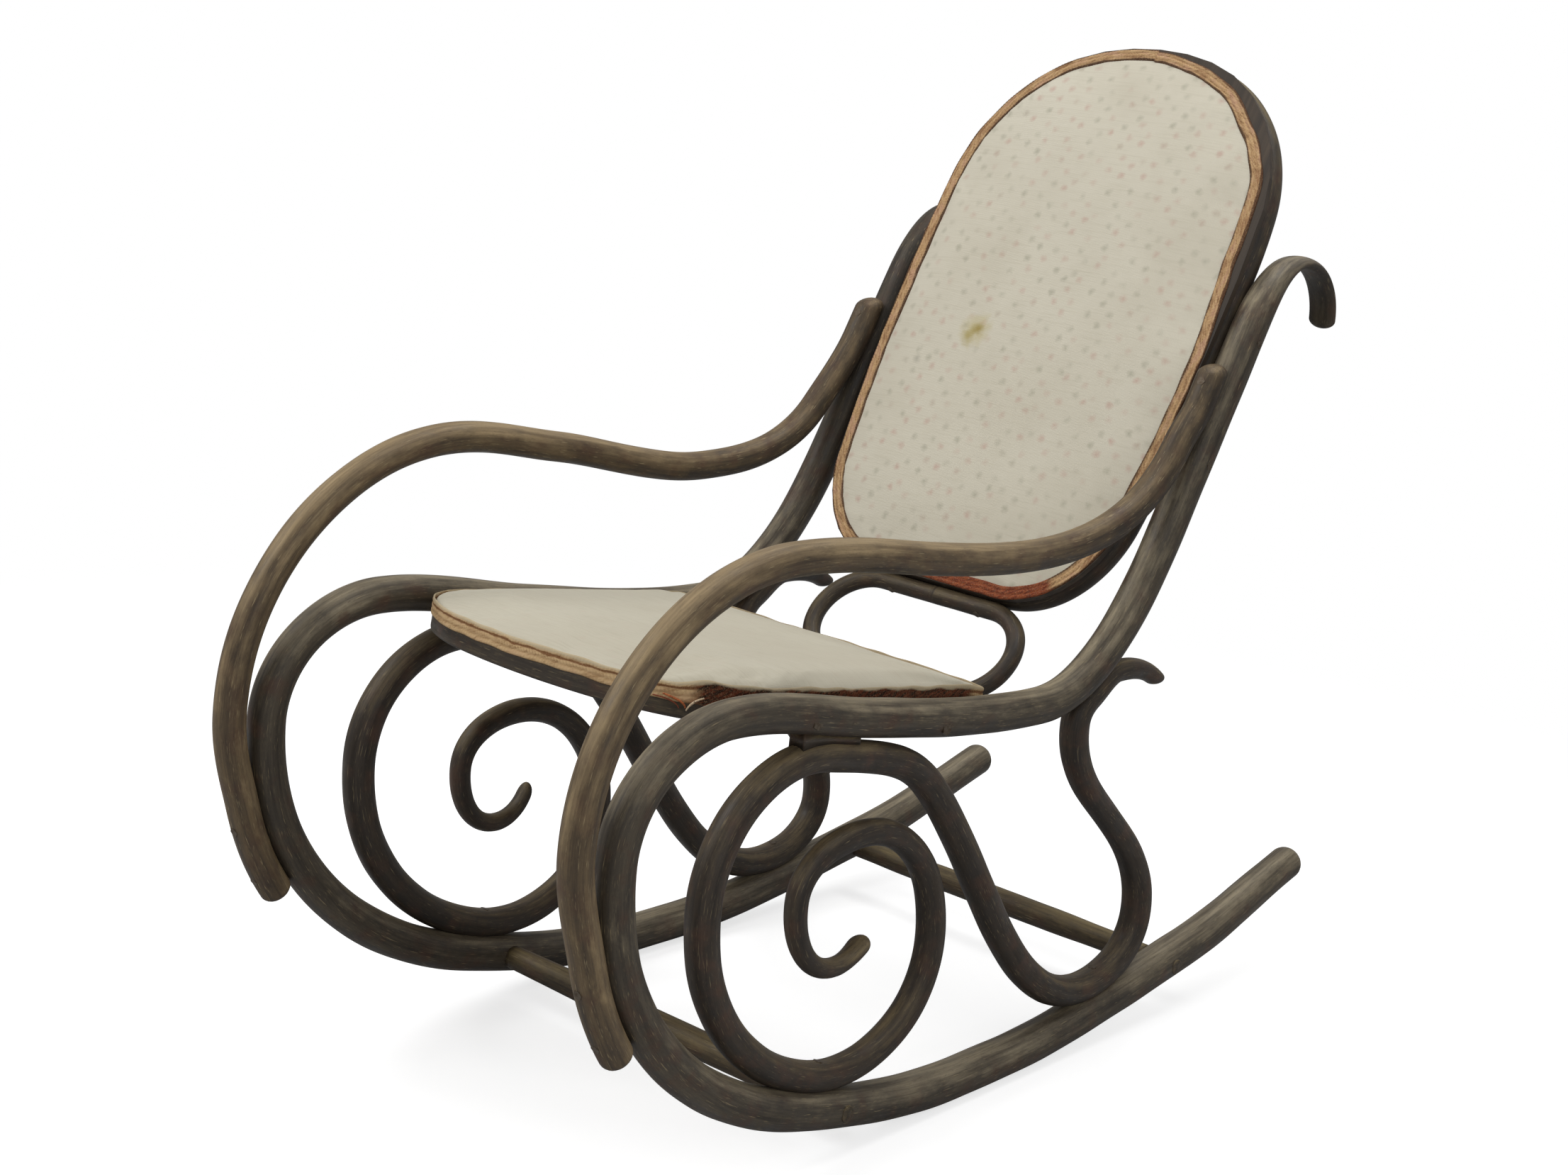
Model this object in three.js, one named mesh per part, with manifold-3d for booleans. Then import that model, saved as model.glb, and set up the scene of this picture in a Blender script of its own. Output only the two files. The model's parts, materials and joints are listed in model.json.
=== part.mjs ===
// A bentwood rocking chair. Each side is one long steamed rod, bent into handle, post, seat rail,
// front loop and runner, with an arm rod and a scroll rod fixed against it. Two stretchers, a back
// ring and a seat hoop join the sides. The back and the seat are upholstered and edged with braid.
// Millimetres. +Z is up, the sitter faces -Y, and the sitter's left is +X.

import * as THREE from 'three';
import { mergeVertices } from 'three/addons/utils/BufferGeometryUtils.js';
import Module from 'manifold-3d';

const wasm = await Module();
wasm.setup();

// Sizes for the whole chair.
const frameSpacing = 430; // between the middle planes of the two side frames
const clearance = 0.3; // between two pieces that touch
const overrun = 3; // by which a cutter passes the face that it opens

// A place on a side frame is given by how far it lies forward or back of the middle of the sole,
// where the runner stands on the floor, and by how high its middle line is above the floor.
// A heading is the way in which the rod runs there, in degrees: 0 backwards, 90 up, 180 forwards.
// A girth share is the rod's local thickness as a share of its nominal diameter.
const rail = {
  rod: 36,
  tailBack: 583, tailHigh: 117, tailHeading: 194.5, tailGirthShare: 1.02,
  swellBack: 353, swellHigh: 57, swellHeading: 188.5, swellGirthShare: 1.13,
  soleHalf: 32, soleGirthShare: 1.08,
  toeForward: 263, toeHigh: 53.5, toeHeading: 165.9, toeGirthShare: 1.05,
  frontForward: 520, frontHigh: 326, frontGirthShare: 0.94,
  crownForward: 402, crownHigh: 428, crownGirthShare: 0.92,
  seatForward: 222, seatHigh: 401.5, seatHeading: -8.8, seatGirthShare: 0.96,
  bendForward: 30, bendHigh: 375.6, bendGirthShare: 0.97,
  postFootBack: 212, postFootHigh: 526, postTopBack: 312, postTopHigh: 716, postGirthShare: 1,
  crookBack: 392, crookHigh: 785, crookBroadShare: 0.87, crookDeepShare: 0.36,
  gripBack: 459, gripHigh: 717, gripHeading: -94, gripBroadShare: 0.84, gripDeepShare: 0.23,
  tipLength: 17, gripTipLength: 9,
};

// The two arms were bent by hand and differ a little, as the two scrolls do.
const arm = {
  rod: 29,
  hugLowHigh: 181, // height of the rail where the arm first lies on the front loop
  hugTopHigh: 260, // and where it leaves it
  bed: 0.8, // depth to which the arm is let into the side rail
  left: {
    frontForward: 563, frontHigh: 347.5,
    crownForward: 370, crownHigh: 554,
    restForward: 206, restHigh: 540, restHeading: -8.2,
    dipForward: 6, dipHigh: 522.5,
    riseBack: 211, riseHigh: 611, riseHeading: 58,
  },
  right: {
    frontForward: 559.5, frontHigh: 338,
    crownForward: 322, crownHigh: 567.5,
    restForward: 196, restHigh: 551, restHeading: -8.5,
    dipForward: -8, dipHigh: 519,
    riseBack: 181.5, riseHigh: 574, riseHeading: 48.5,
  },
  postLowHigh: 632, // height of the post where the arm first lies on it
  postTopHigh: 672, // and where the arm ends
  lowScrewHigh: 203, topScrewHigh: 246, postScrewHigh: 650, // heights of the rail at the arm's screws
  footTipLength: 9, endTipLength: 5, endCantShare: 0.9,
};

const scroll = {
  rod: 28.5,
  right: {
    tipForward: 198, tipHigh: 216, tipHeading: 262, tipBroadShare: 0.6, tipDeepShare: 0.42,
    eyeForward: 236, eyeHigh: 182, eyeGirthShare: 0.62,
    innerForward: 288, innerHigh: 244, innerGirthShare: 0.72,
    innerTopForward: 218, innerTopHigh: 292, innerTopGirthShare: 0.84,
  },
  left: {
    tipForward: 195, tipHigh: 199, tipHeading: 226, tipBroadShare: 0.62, tipDeepShare: 0.25,
    eyeForward: 234, eyeHigh: 179, eyeGirthShare: 0.62,
    innerForward: 295, innerHigh: 249, innerGirthShare: 0.72,
    innerTopForward: 218, innerTopHigh: 297, innerTopGirthShare: 0.84,
  },
  limbForward: 97, limbHigh: 170, limbGirthShare: 0.965,
  toeForward: 252, toeGirthShare: 1, toeBed: 3.5,
  frontForward: 413, frontHigh: 271.5, frontGirthShare: 1.04,
  seatForward: 267, seatGirthShare: 1,
  waistForward: 131, waistHigh: 328, waistHeading: -42.3, waistGirthShare: 1.03,
  heelBack: 196, heelGirthShare: 1.09, heelBed: 4.8,
  rearBack: 258, rearHigh: 121, rearGirthShare: 1.09,
  riseBack: 180.5, riseHigh: 237, riseHeading: 139.6, riseGirthShare: 0.92,
  neckBack: 96.5, neckHigh: 348, neckGirthShare: 1,
  postBack: 95, postGirthShare: 0.86, postBed: 1,
  hookBeyond: 10.5, hookRise: 12, hookGirthShare: 0.82,
  finialBeyond: 120, finialDrop: 7, finialHeading: -31.5, finialGirthShare: 0.72,
  tipLength: 7, finialTipLength: 10,
};

const packer = { web: 2, front: 45, rear: 30, width: 16 };

const stretcher = {
  middle: 27, end: 23, tenon: 16, taper: 120,
  frontForward: 214, // along the runner, where the front one passes through it
  rearBack: 324,
};

// Heights on the back ring are measured up the posts from their feet, and insets from its flanks.
const ring = {
  rod: 28.5,
  crownHigh: 488, crownEndInset: 64, crownEndHigh: 451, crownEndHeading: -40,
  shoulderInset: 3, shoulderHigh: 336, shoulderHeading: -84, flankHigh: 185,
  waistInset: 11.5, waistHigh: -4, waistHeading: -97,
  footHalf: 75, footHigh: -104.5,
};

const back = {
  boardInset: 3, boardThick: 7,
  braidInset: 0.8, braidWidth: 14, braidThick: 2.2,
  padEdge: 3, padCrown: 15,
};

const lowerLoop = { rod: 18.5, half: 121, depth: 104, bend: 52, lean: 45, bed: 0.8 };

// Heights on the seat are measured square to its panel, from the rear bolt.
const seat = {
  boltForward: 134, boltFrontForward: 313, // where the two bolts pass through the seat rail
  boltLow: 3, // how far under the middle of the rail
  rearBack: 111, rearBow: 8, rearCorner: 21, leastCorner: 7,
  frontForward: 292, frontBow: 8, frontCorner: 112,
  hoopWidth: 25, hoopThick: 23, hoopRound: 2.5,
  hoopRise: 4.5, hoopFrontRise: -4, // the middle of its thickness, over the rear and the front bolt
  rebateWidth: 9, panelThick: 6,
  braidHigh: 13.5, braidThick: 1.6, braidRise: 7,
  padEdge: 4, padCrown: 11,
};

// Fasteners: a countersunk screw or bolt, by diameters, with its bite into the last piece.
const screw = { head: 9, headDepth: 4, rim: 1, shank: 4.4, bite: 17 };
const bolt = { head: 13, headDepth: 5, rim: 2, shank: 6.4, bite: 14 };
const ringScrews = { upperHigh: 205, lowerHigh: 72, pastMiddleShare: 0.1 };
const loopScrews = { half: 55 };

// How finely the forms are cut into faces.
const rodSides = 12;
const slimSides = 10;
const loopSides = 8;
const screwSides = 6;
const turnStep = 12; // most degrees of bend between two sections of a rod
const longestRun = 120; // most length between two sections

const finish = {
  wood: { color: 0x4b3c2c, roughness: 0.48, metalness: 0 },
  fabric: { color: 0xcdc6b4, roughness: 0.92, metalness: 0 },
  braid: { color: 0xb98355, roughness: 0.85, metalness: 0 },
  board: { color: 0x8f7a5c, roughness: 0.8, metalness: 0 },
  steel: { color: 0x6f6b64, roughness: 0.45, metalness: 0.9 },
};

const radians = THREE.MathUtils.degToRad;
const quarter = Math.PI / 2;

// A place on a rod's middle line: its position in the plane, its heading and its two diameters.
function knot(u, v, heading, broad, deep = broad) {
  return { u, v, heading, broad, deep };
}

// A stretch between two knots: a cubic curve whose handles make it an arc when the knots allow one.
function stretchBetween(start, end) {
  const change = end.heading - start.heading;
  const turn = Math.abs(THREE.MathUtils.euclideanModulo(change + Math.PI, 4 * quarter) - Math.PI);
  const chord = Math.hypot(end.u - start.u, end.v - start.v);
  const handle = chord / (3 * Math.cos(turn / 4) ** 2);
  const ahead = ({ u, v, heading }, reach) => new THREE.Vector2(
    u + Math.cos(heading) * reach, v + Math.sin(heading) * reach,
  );
  const curve = new THREE.CubicBezierCurve(
    ahead(start, 0), ahead(start, handle), ahead(end, -handle), ahead(end, 0),
  );
  return { start, end, turn, chord, curve };
}

// A rod's middle line through its knots.
function routeThrough(knots) {
  return knots.slice(1).map((end, i) => stretchBetween(knots[i], end));
}

function stationAt(stretch, t) {
  const place = stretch.curve.getPoint(t);
  const along = stretch.curve.getTangent(t);
  return knot(
    place.x, place.y, Math.atan2(along.y, along.x),
    THREE.MathUtils.lerp(stretch.start.broad, stretch.end.broad, t),
    THREE.MathUtils.lerp(stretch.start.deep, stretch.end.deep, t),
  );
}

// The station of a stretch where one coordinate has a wanted value, found by halving.
const halvings = 40;
function stationWhere(stretch, axis, value) {
  const rising = stretch.end[axis] > stretch.start[axis];
  let low = 0;
  let high = 1;
  for (let i = 0; i < halvings; i++) {
    const middle = (low + high) / 2;
    if (stationAt(stretch, middle)[axis] < value === rising) low = middle;
    else high = middle;
  }
  return stationAt(stretch, low);
}

// Sections along a route, closer where it bends. A round tip draws the first or last ones in.
const tipShares = [0, 0.14, 0.5];
function sectionsAlong(route, { startTip = 0, endTip = 0, closed = false } = {}) {
  const sections = [];
  const drawnIn = (stretch, tip, share, fromEnd) => {
    const t = share * tip / stretch.curve.getLength();
    const section = stationAt(stretch, fromEnd ? 1 - t : t);
    const width = Math.sqrt(1 - (1 - share) ** 2) * (1 - tipShares[1]) + tipShares[1];
    return { ...section, broad: section.broad * width, deep: section.deep * width };
  };
  route.forEach((stretch, i) => {
    const length = stretch.curve.getLength();
    const count = Math.max(Math.ceil(length / longestRun), Math.ceil(stretch.turn / radians(turnStep)));
    const first = i === 0 && startTip ? startTip / length : 0;
    const last = i === route.length - 1 && endTip ? 1 - endTip / length : 1;
    if (first) tipShares.forEach((share) => sections.push(drawnIn(stretch, startTip, share, false)));
    for (let k = 0; k < count; k++) {
      sections.push(stationAt(stretch, THREE.MathUtils.lerp(first, last, k / count)));
    }
    if (i === route.length - 1 && !closed) {
      sections.push(stationAt(stretch, last));
      if (endTip) {
        [...tipShares].reverse().forEach((share) => sections.push(drawnIn(stretch, endTip, share, true)));
      }
    }
  });
  return sections;
}

// A closed skin over rings of equally many points, given one after another.
function skinOver(points, perRing, closed) {
  const rings = points.length / perRing;
  const index = [];
  for (let ringAt = 0; ringAt < (closed ? rings : rings - 1); ringAt++) {
    const a = ringAt * perRing;
    const b = (ringAt + 1) % rings * perRing;
    for (let i = 0; i < perRing; i++) {
      const j = (i + 1) % perRing;
      index.push(a + i, b + i, a + j, a + j, b + i, b + j);
    }
  }
  if (!closed) {
    const last = (rings - 1) * perRing;
    for (let i = 1; i < perRing - 1; i++) index.push(0, i, i + 1, last, last + i + 1, last + i);
  }
  const geometry = new THREE.BufferGeometry();
  geometry.setAttribute('position', new THREE.Float32BufferAttribute(points.flat(), 3));
  geometry.setIndex(index);
  return facingOut(geometry);
}

// Turns the faces round where they enclose a negative volume.
function facingOut(geometry) {
  const place = geometry.getAttribute('position');
  const [a, b, c] = [new THREE.Vector3(), new THREE.Vector3(), new THREE.Vector3()];
  let volume = 0;
  for (let i = 0; i < geometry.index.count; i += 3) {
    a.fromBufferAttribute(place, geometry.index.getX(i));
    b.fromBufferAttribute(place, geometry.index.getX(i + 1));
    c.fromBufferAttribute(place, geometry.index.getX(i + 2));
    volume += a.dot(b.cross(c));
  }
  if (volume < 0) geometry.setIndex([...geometry.index.array].reverse());
  geometry.computeVertexNormals();
  return geometry;
}

// A rod of round or flattened section about its middle line. Its flats lie at the stated diameters.
function rodAlong(sections, sides, { grow = 0, closed = false, cantShare = 0 } = {}) {
  const corner = 1 / Math.cos(Math.PI / sides);
  const points = sections.flatMap((section, i) => {
    const cant = i > sections.length - tipShares.length - 2 ? cantShare : 0;
    return Array.from({ length: sides }, (_, k) => {
      const angle = (k + 1 / 2) * 4 * quarter / sides;
      const across = (section.broad / 2 + grow) * corner * Math.cos(angle);
      const inPlane = (section.deep / 2 + grow) * corner * Math.sin(angle);
      const along = inPlane * cant;
      return [
        section.u - Math.sin(section.heading) * inPlane + Math.cos(section.heading) * along,
        section.v + Math.cos(section.heading) * inPlane + Math.sin(section.heading) * along,
        across,
      ];
    });
  });
  return skinOver(points, sides, closed);
}

// Where another rod lies against a stretch: the other rod's middle point and the way between them.
// Side 1 is the left hand of the heading and -1 the right hand.
function contactOn(stretch, axis, value, side, diameter, bed) {
  const seatAt = stationWhere(stretch, axis, value);
  const normal = seatAt.heading + side * quarter;
  const reach = seatAt.deep / 2 + diameter / 2 - bed;
  const u = seatAt.u + Math.cos(normal) * reach;
  const v = seatAt.v + Math.sin(normal) * reach;
  return { u, v, heading: seatAt.heading, normal, diameter, reach, gap: -bed };
}

function solidOf(geometry) {
  const bare = geometry.clone();
  bare.deleteAttribute('normal');
  bare.deleteAttribute('uv');
  const merged = mergeVertices(bare);
  return new wasm.Manifold(new wasm.Mesh({
    numProp: 3,
    vertProperties: new Float32Array(merged.getAttribute('position').array),
    triVerts: new Uint32Array(merged.index.array),
  }));
}

function geometryOf(solid) {
  const mesh = solid.getMesh();
  const geometry = new THREE.BufferGeometry();
  geometry.setAttribute('position', new THREE.BufferAttribute(new Float32Array(mesh.vertProperties), 3));
  geometry.setIndex(new THREE.BufferAttribute(new Uint32Array(mesh.triVerts), 1));
  geometry.computeVertexNormals();
  return geometry;
}

function cutBy(geometry, cutters) {
  return geometryOf(cutters.reduce((left, cutter) => left.subtract(solidOf(cutter)), solidOf(geometry)));
}

function piece(name, geometry, look) {
  const mesh = new THREE.Mesh(geometry, new THREE.MeshStandardMaterial(look));
  mesh.name = name;
  return mesh;
}

// A countersunk fastener that runs from its head towards a point, and the hole that takes it.
function fastenerShape(size, length, grow, top) {
  const profile = [
    [0, -length - grow],
    [size.shank / 2 + grow, -length - grow],
    [size.shank / 2 + grow, -size.headDepth - grow],
    [size.head / 2 + grow, -size.rim - grow],
    [size.head / 2 + grow, top],
    [0, top],
  ];
  return new THREE.LatheGeometry(profile.map(([r, y]) => new THREE.Vector2(r, y)), screwSides);
}

function placed(head, direction) {
  const turned = new THREE.Quaternion().setFromUnitVectors(new THREE.Vector3(0, -1, 0), direction);
  return new THREE.Matrix4().compose(head, turned, new THREE.Vector3(1, 1, 1));
}

function fastenerAt(name, { size, head, direction, length }) {
  const mesh = piece(name, fastenerShape(size, length, 0, 0), finish.steel);
  mesh.applyMatrix4(placed(head, direction));
  return mesh;
}

function holeFor({ size, head, direction, length }) {
  return fastenerShape(size, length, clearance, overrun).applyMatrix4(placed(head, direction));
}

// The screw that ties a rod to the side rail where the two touch: through the rod, into the rail.
function tieAt(contact) {
  const way = new THREE.Vector3(Math.cos(contact.normal), Math.sin(contact.normal), 0);
  const head = new THREE.Vector3(contact.u, contact.v, 0).addScaledVector(way, contact.diameter / 2);
  return { size: screw, head, direction: way.negate(), length: contact.diameter + contact.gap + screw.bite };
}

// The side rail's middle line, from the tail of the runner round to the grip.
const girth = (share) => rail.rod * share;
const soleHigh = girth(rail.soleGirthShare) / 2;
const postHeading = Math.atan2(rail.postTopHigh - rail.postFootHigh, rail.postTopBack - rail.postFootBack);
const railRoute = routeThrough([
  knot(rail.tailBack, rail.tailHigh, radians(rail.tailHeading), girth(rail.tailGirthShare)),
  knot(rail.swellBack, rail.swellHigh, radians(rail.swellHeading), girth(rail.swellGirthShare)),
  knot(rail.soleHalf, soleHigh, 2 * quarter, girth(rail.soleGirthShare)),
  knot(-rail.soleHalf, soleHigh, 2 * quarter, girth(rail.soleGirthShare)),
  knot(-rail.toeForward, rail.toeHigh, radians(rail.toeHeading), girth(rail.toeGirthShare)),
  knot(-rail.frontForward, rail.frontHigh, quarter, girth(rail.frontGirthShare)),
  knot(-rail.crownForward, rail.crownHigh, 0, girth(rail.crownGirthShare)),
  knot(-rail.seatForward, rail.seatHigh, radians(rail.seatHeading), girth(rail.seatGirthShare)),
  knot(-rail.bendForward, rail.bendHigh, 0, girth(rail.bendGirthShare)),
  knot(rail.postFootBack, rail.postFootHigh, postHeading, girth(rail.postGirthShare)),
  knot(rail.postTopBack, rail.postTopHigh, postHeading, girth(rail.postGirthShare)),
  knot(rail.crookBack, rail.crookHigh, 0, girth(rail.crookBroadShare), girth(rail.crookDeepShare)),
  knot(
    rail.gripBack, rail.gripHigh, radians(rail.gripHeading),
    girth(rail.gripBroadShare), girth(rail.gripDeepShare),
  ),
]);
const [, heelOfRail, , toeOfRail, frontOfRail] = railRoute;
const [crownOfRail, seatOfRail, bendOfRail, postOfRail] = railRoute.slice(6);
const railSections = sectionsAlong(railRoute, { startTip: rail.tipLength, endTip: rail.gripTipLength });

// The arm: up the front loop, over, along and up to the post, against whose front it ends.
const armContacts = {
  frontLower: contactOn(frontOfRail, 'v', arm.hugLowHigh, 1, arm.rod, arm.bed),
  frontUpper: contactOn(frontOfRail, 'v', arm.hugTopHigh, 1, arm.rod, arm.bed),
  post: contactOn(postOfRail, 'v', arm.postLowHigh, 1, arm.rod, arm.bed),
  end: contactOn(postOfRail, 'v', arm.postTopHigh, 1, arm.rod, arm.bed),
};
function asKnot({ u, v, heading, diameter }, turned = 0) {
  return knot(u, v, heading + turned, diameter);
}
function armRouteOver(bend) {
  return routeThrough([
    asKnot(armContacts.frontLower),
    asKnot(armContacts.frontUpper),
    knot(-bend.frontForward, bend.frontHigh, quarter, arm.rod),
    knot(-bend.crownForward, bend.crownHigh, 0, arm.rod),
    knot(-bend.restForward, bend.restHigh, radians(bend.restHeading), arm.rod),
    knot(-bend.dipForward, bend.dipHigh, 0, arm.rod),
    knot(bend.riseBack, bend.riseHigh, radians(bend.riseHeading), arm.rod),
    asKnot(armContacts.post),
    asKnot(armContacts.end),
  ]);
}

// The scroll: a spiral that opens into a loop, stands on the runner, rises to the seat rail and
// runs down to the runner again, up to the back of the seat rail's bend and out into a finial.
const scrollGirth = (share) => scroll.rod * share;
function scrollOn(stretch, place, share, bed) {
  return contactOn(stretch, 'u', place, -1, scrollGirth(share), bed);
}
const scrollContacts = {
  toe: scrollOn(toeOfRail, -scroll.toeForward, scroll.toeGirthShare, scroll.toeBed),
  seat: scrollOn(crownOfRail, -scroll.seatForward, scroll.seatGirthShare, -packer.web),
  heel: scrollOn(heelOfRail, scroll.heelBack, scroll.heelGirthShare, scroll.heelBed),
  post: scrollOn(bendOfRail, scroll.postBack, scroll.postGirthShare, scroll.postBed),
};
function scrollRouteFrom(eye) {
  const post = scrollContacts.post;
  return routeThrough([
    knot(
      -eye.tipForward, eye.tipHigh, radians(eye.tipHeading),
      scrollGirth(eye.tipBroadShare), scrollGirth(eye.tipDeepShare),
    ),
    knot(-eye.eyeForward, eye.eyeHigh, 2 * quarter, scrollGirth(eye.eyeGirthShare)),
    knot(-eye.innerForward, eye.innerHigh, quarter, scrollGirth(eye.innerGirthShare)),
    knot(-eye.innerTopForward, eye.innerTopHigh, 0, scrollGirth(eye.innerTopGirthShare)),
    knot(-scroll.limbForward, scroll.limbHigh, -quarter, scrollGirth(scroll.limbGirthShare)),
    asKnot(scrollContacts.toe),
    knot(-scroll.frontForward, scroll.frontHigh, quarter, scrollGirth(scroll.frontGirthShare)),
    asKnot(scrollContacts.seat),
    knot(
      -scroll.waistForward, scroll.waistHigh, radians(scroll.waistHeading),
      scrollGirth(scroll.waistGirthShare),
    ),
    asKnot(scrollContacts.heel, 2 * quarter),
    knot(scroll.rearBack, scroll.rearHigh, quarter, scrollGirth(scroll.rearGirthShare)),
    knot(scroll.riseBack, scroll.riseHigh, radians(scroll.riseHeading), scrollGirth(scroll.riseGirthShare)),
    knot(scroll.neckBack, scroll.neckHigh, quarter, scrollGirth(scroll.neckGirthShare)),
    asKnot(post),
    knot(post.u + scroll.hookBeyond, post.v + scroll.hookRise, 0, scrollGirth(scroll.hookGirthShare)),
    knot(
      post.u + scroll.finialBeyond, post.v - scroll.finialDrop, radians(scroll.finialHeading),
      scrollGirth(scroll.finialGirthShare),
    ),
  ]);
}

// The places where a seat bolt or a ring screw crosses a side frame, and where a tenon passes
// through a runner. Both are the same on the two sides.
const places = {
  frontTenon: stationWhere(toeOfRail, 'u', -stretcher.frontForward),
  rearTenon: stationWhere(heelOfRail, 'u', stretcher.rearBack),
  frontBolt: lowered(stationWhere(crownOfRail, 'u', -seat.boltFrontForward), seat.boltLow),
  rearBolt: lowered(stationWhere(seatOfRail, 'u', -seat.boltForward), seat.boltLow),
  upperScrew: upThePost(ringScrews.upperHigh),
  lowerScrew: upThePost(ringScrews.lowerHigh),
};
function upThePost(high) {
  return stationWhere(postOfRail, 'v', rail.postFootHigh + Math.sin(postHeading) * high);
}
function lowered(station, by) {
  return { ...station, v: station.v - by };
}

// Half widths that follow from the room between the side frames.
const railBeside = girth(Math.max(rail.seatGirthShare, rail.bendGirthShare)) / 2;
const hoopHalf = frameSpacing / 2 - railBeside - clearance - seat.braidThick - clearance;
const ringHalf = frameSpacing / 2 - girth(rail.postGirthShare) / 2 - clearance - ring.rod / 2;

// Frames to build in. The side frames' first axis points back and their second up. In the others
// the first axis is the chair's +X, and the second leans by an angle from the floor.
const chair = new THREE.Group();
const toLeft = new THREE.Vector3(1, 0, 0);
const toBack = new THREE.Vector3(0, 1, 0);
const toTop = new THREE.Vector3(0, 0, 1);
function sideFrame(sideways) {
  const group = new THREE.Group();
  group.quaternion.setFromRotationMatrix(new THREE.Matrix4().makeBasis(toBack, toTop, toLeft));
  group.position.x = sideways * frameSpacing / 2;
  chair.add(group);
  return group;
}
function leaningFrame(y, z, angle) {
  const group = new THREE.Group();
  group.rotation.x = angle;
  group.position.set(0, y, z);
  chair.add(group);
  return group;
}
const sides = {
  left: { sideways: 1, frame: sideFrame(1) },
  right: { sideways: -1, frame: sideFrame(-1) },
};
const seatSlope = Math.atan2(
  places.rearBolt.v + seat.hoopRise - places.frontBolt.v - seat.hoopFrontRise,
  places.rearBolt.u - places.frontBolt.u,
);
const seatFrame = leaningFrame(places.rearBolt.u, places.rearBolt.v, seatSlope);
const ringFrame = leaningFrame(rail.postFootBack, rail.postFootHigh, postHeading);
const loopLean = radians(lowerLoop.lean);
const loopReach = ring.rod / 2 + lowerLoop.rod / 2 - lowerLoop.bed;
const loopFrame = leaningFrame(
  rail.postFootBack + Math.cos(postHeading) * ring.footHigh - Math.cos(loopLean) * loopReach,
  rail.postFootHigh + Math.sin(postHeading) * ring.footHigh - Math.sin(loopLean) * loopReach,
  loopLean,
);
chair.updateMatrixWorld(true);
const between = (from, to) => to.matrixWorld.clone().invert().multiply(from.matrixWorld);

// The fasteners of one side frame, in that frame: ties in its plane, and bolts and screws across it.
function crossing(size, place, sideways, reach) {
  return {
    size,
    head: new THREE.Vector3(place.u, place.v, sideways * place.broad / 2),
    direction: new THREE.Vector3(0, 0, -sideways),
    length: place.broad / 2 + reach,
  };
}
function fastenersOf({ sideways }) {
  const toHoop = frameSpacing / 2 - hoopHalf + bolt.bite;
  const toRing = frameSpacing / 2 - ringHalf + ring.rod * ringScrews.pastMiddleShare;
  return {
    arm_screw_lower: tieAt(contactOn(frontOfRail, 'v', arm.lowScrewHigh, 1, arm.rod, arm.bed)),
    arm_screw_upper: tieAt(contactOn(frontOfRail, 'v', arm.topScrewHigh, 1, arm.rod, arm.bed)),
    arm_screw_post: tieAt(contactOn(postOfRail, 'v', arm.postScrewHigh, 1, arm.rod, arm.bed)),
    scroll_screw_toe: tieAt(scrollContacts.toe),
    scroll_screw_seat: tieAt(scrollContacts.seat),
    scroll_screw_heel: tieAt(scrollContacts.heel),
    scroll_screw_post: tieAt(scrollContacts.post),
    seat_bolt_front: crossing(bolt, places.frontBolt, sideways, toHoop),
    seat_bolt_rear: crossing(bolt, places.rearBolt, sideways, toHoop),
    ring_screw_upper: crossing(screw, places.upperScrew, sideways, toRing),
    ring_screw_lower: crossing(screw, places.lowerScrew, sideways, toRing),
  };
}

// A tenon of a stretcher passes through the runner and ends flush with its outer face.
function stretcherAt(name, place) {
  const reach = frameSpacing / 2 + place.broad / 2;
  const shoulder = frameSpacing / 2 - place.broad / 2 - clearance;
  const half = [
    [stretcher.middle / 2, shoulder - stretcher.taper], [stretcher.end / 2, shoulder],
    [stretcher.tenon / 2, shoulder], [stretcher.tenon / 2, reach], [0, reach],
  ];
  const profile = [...half.map(([r, y]) => [r, -y]).reverse(), ...half];
  const turned = new THREE.LatheGeometry(profile.map(([r, y]) => new THREE.Vector2(r, y)), rodSides);
  turned.rotateZ(quarter);
  turned.translate(0, place.u, place.v);
  return piece(name, turned, finish.wood);
}
function mortiseAt(place) {
  const radius = stretcher.tenon / 2 + clearance;
  const hole = new THREE.CylinderGeometry(radius, radius, place.broad + 2 * overrun, rodSides);
  hole.rotateX(quarter);
  hole.translate(place.u, place.v, 0);
  return hole;
}

// The packer fills the narrow room between the top of the scroll and the seat rail.
function packerBetween(railCutter, scrollCutter, hole) {
  const { u, v, heading, reach } = scrollContacts.seat;
  const block = new THREE.BoxGeometry(packer.front + packer.rear, reach, packer.width);
  block.translate((packer.rear - packer.front) / 2, reach / 2, 0);
  block.rotateZ(heading);
  block.translate(u, v, 0);
  return cutBy(block, [railCutter, scrollCutter, hole]);
}

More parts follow.
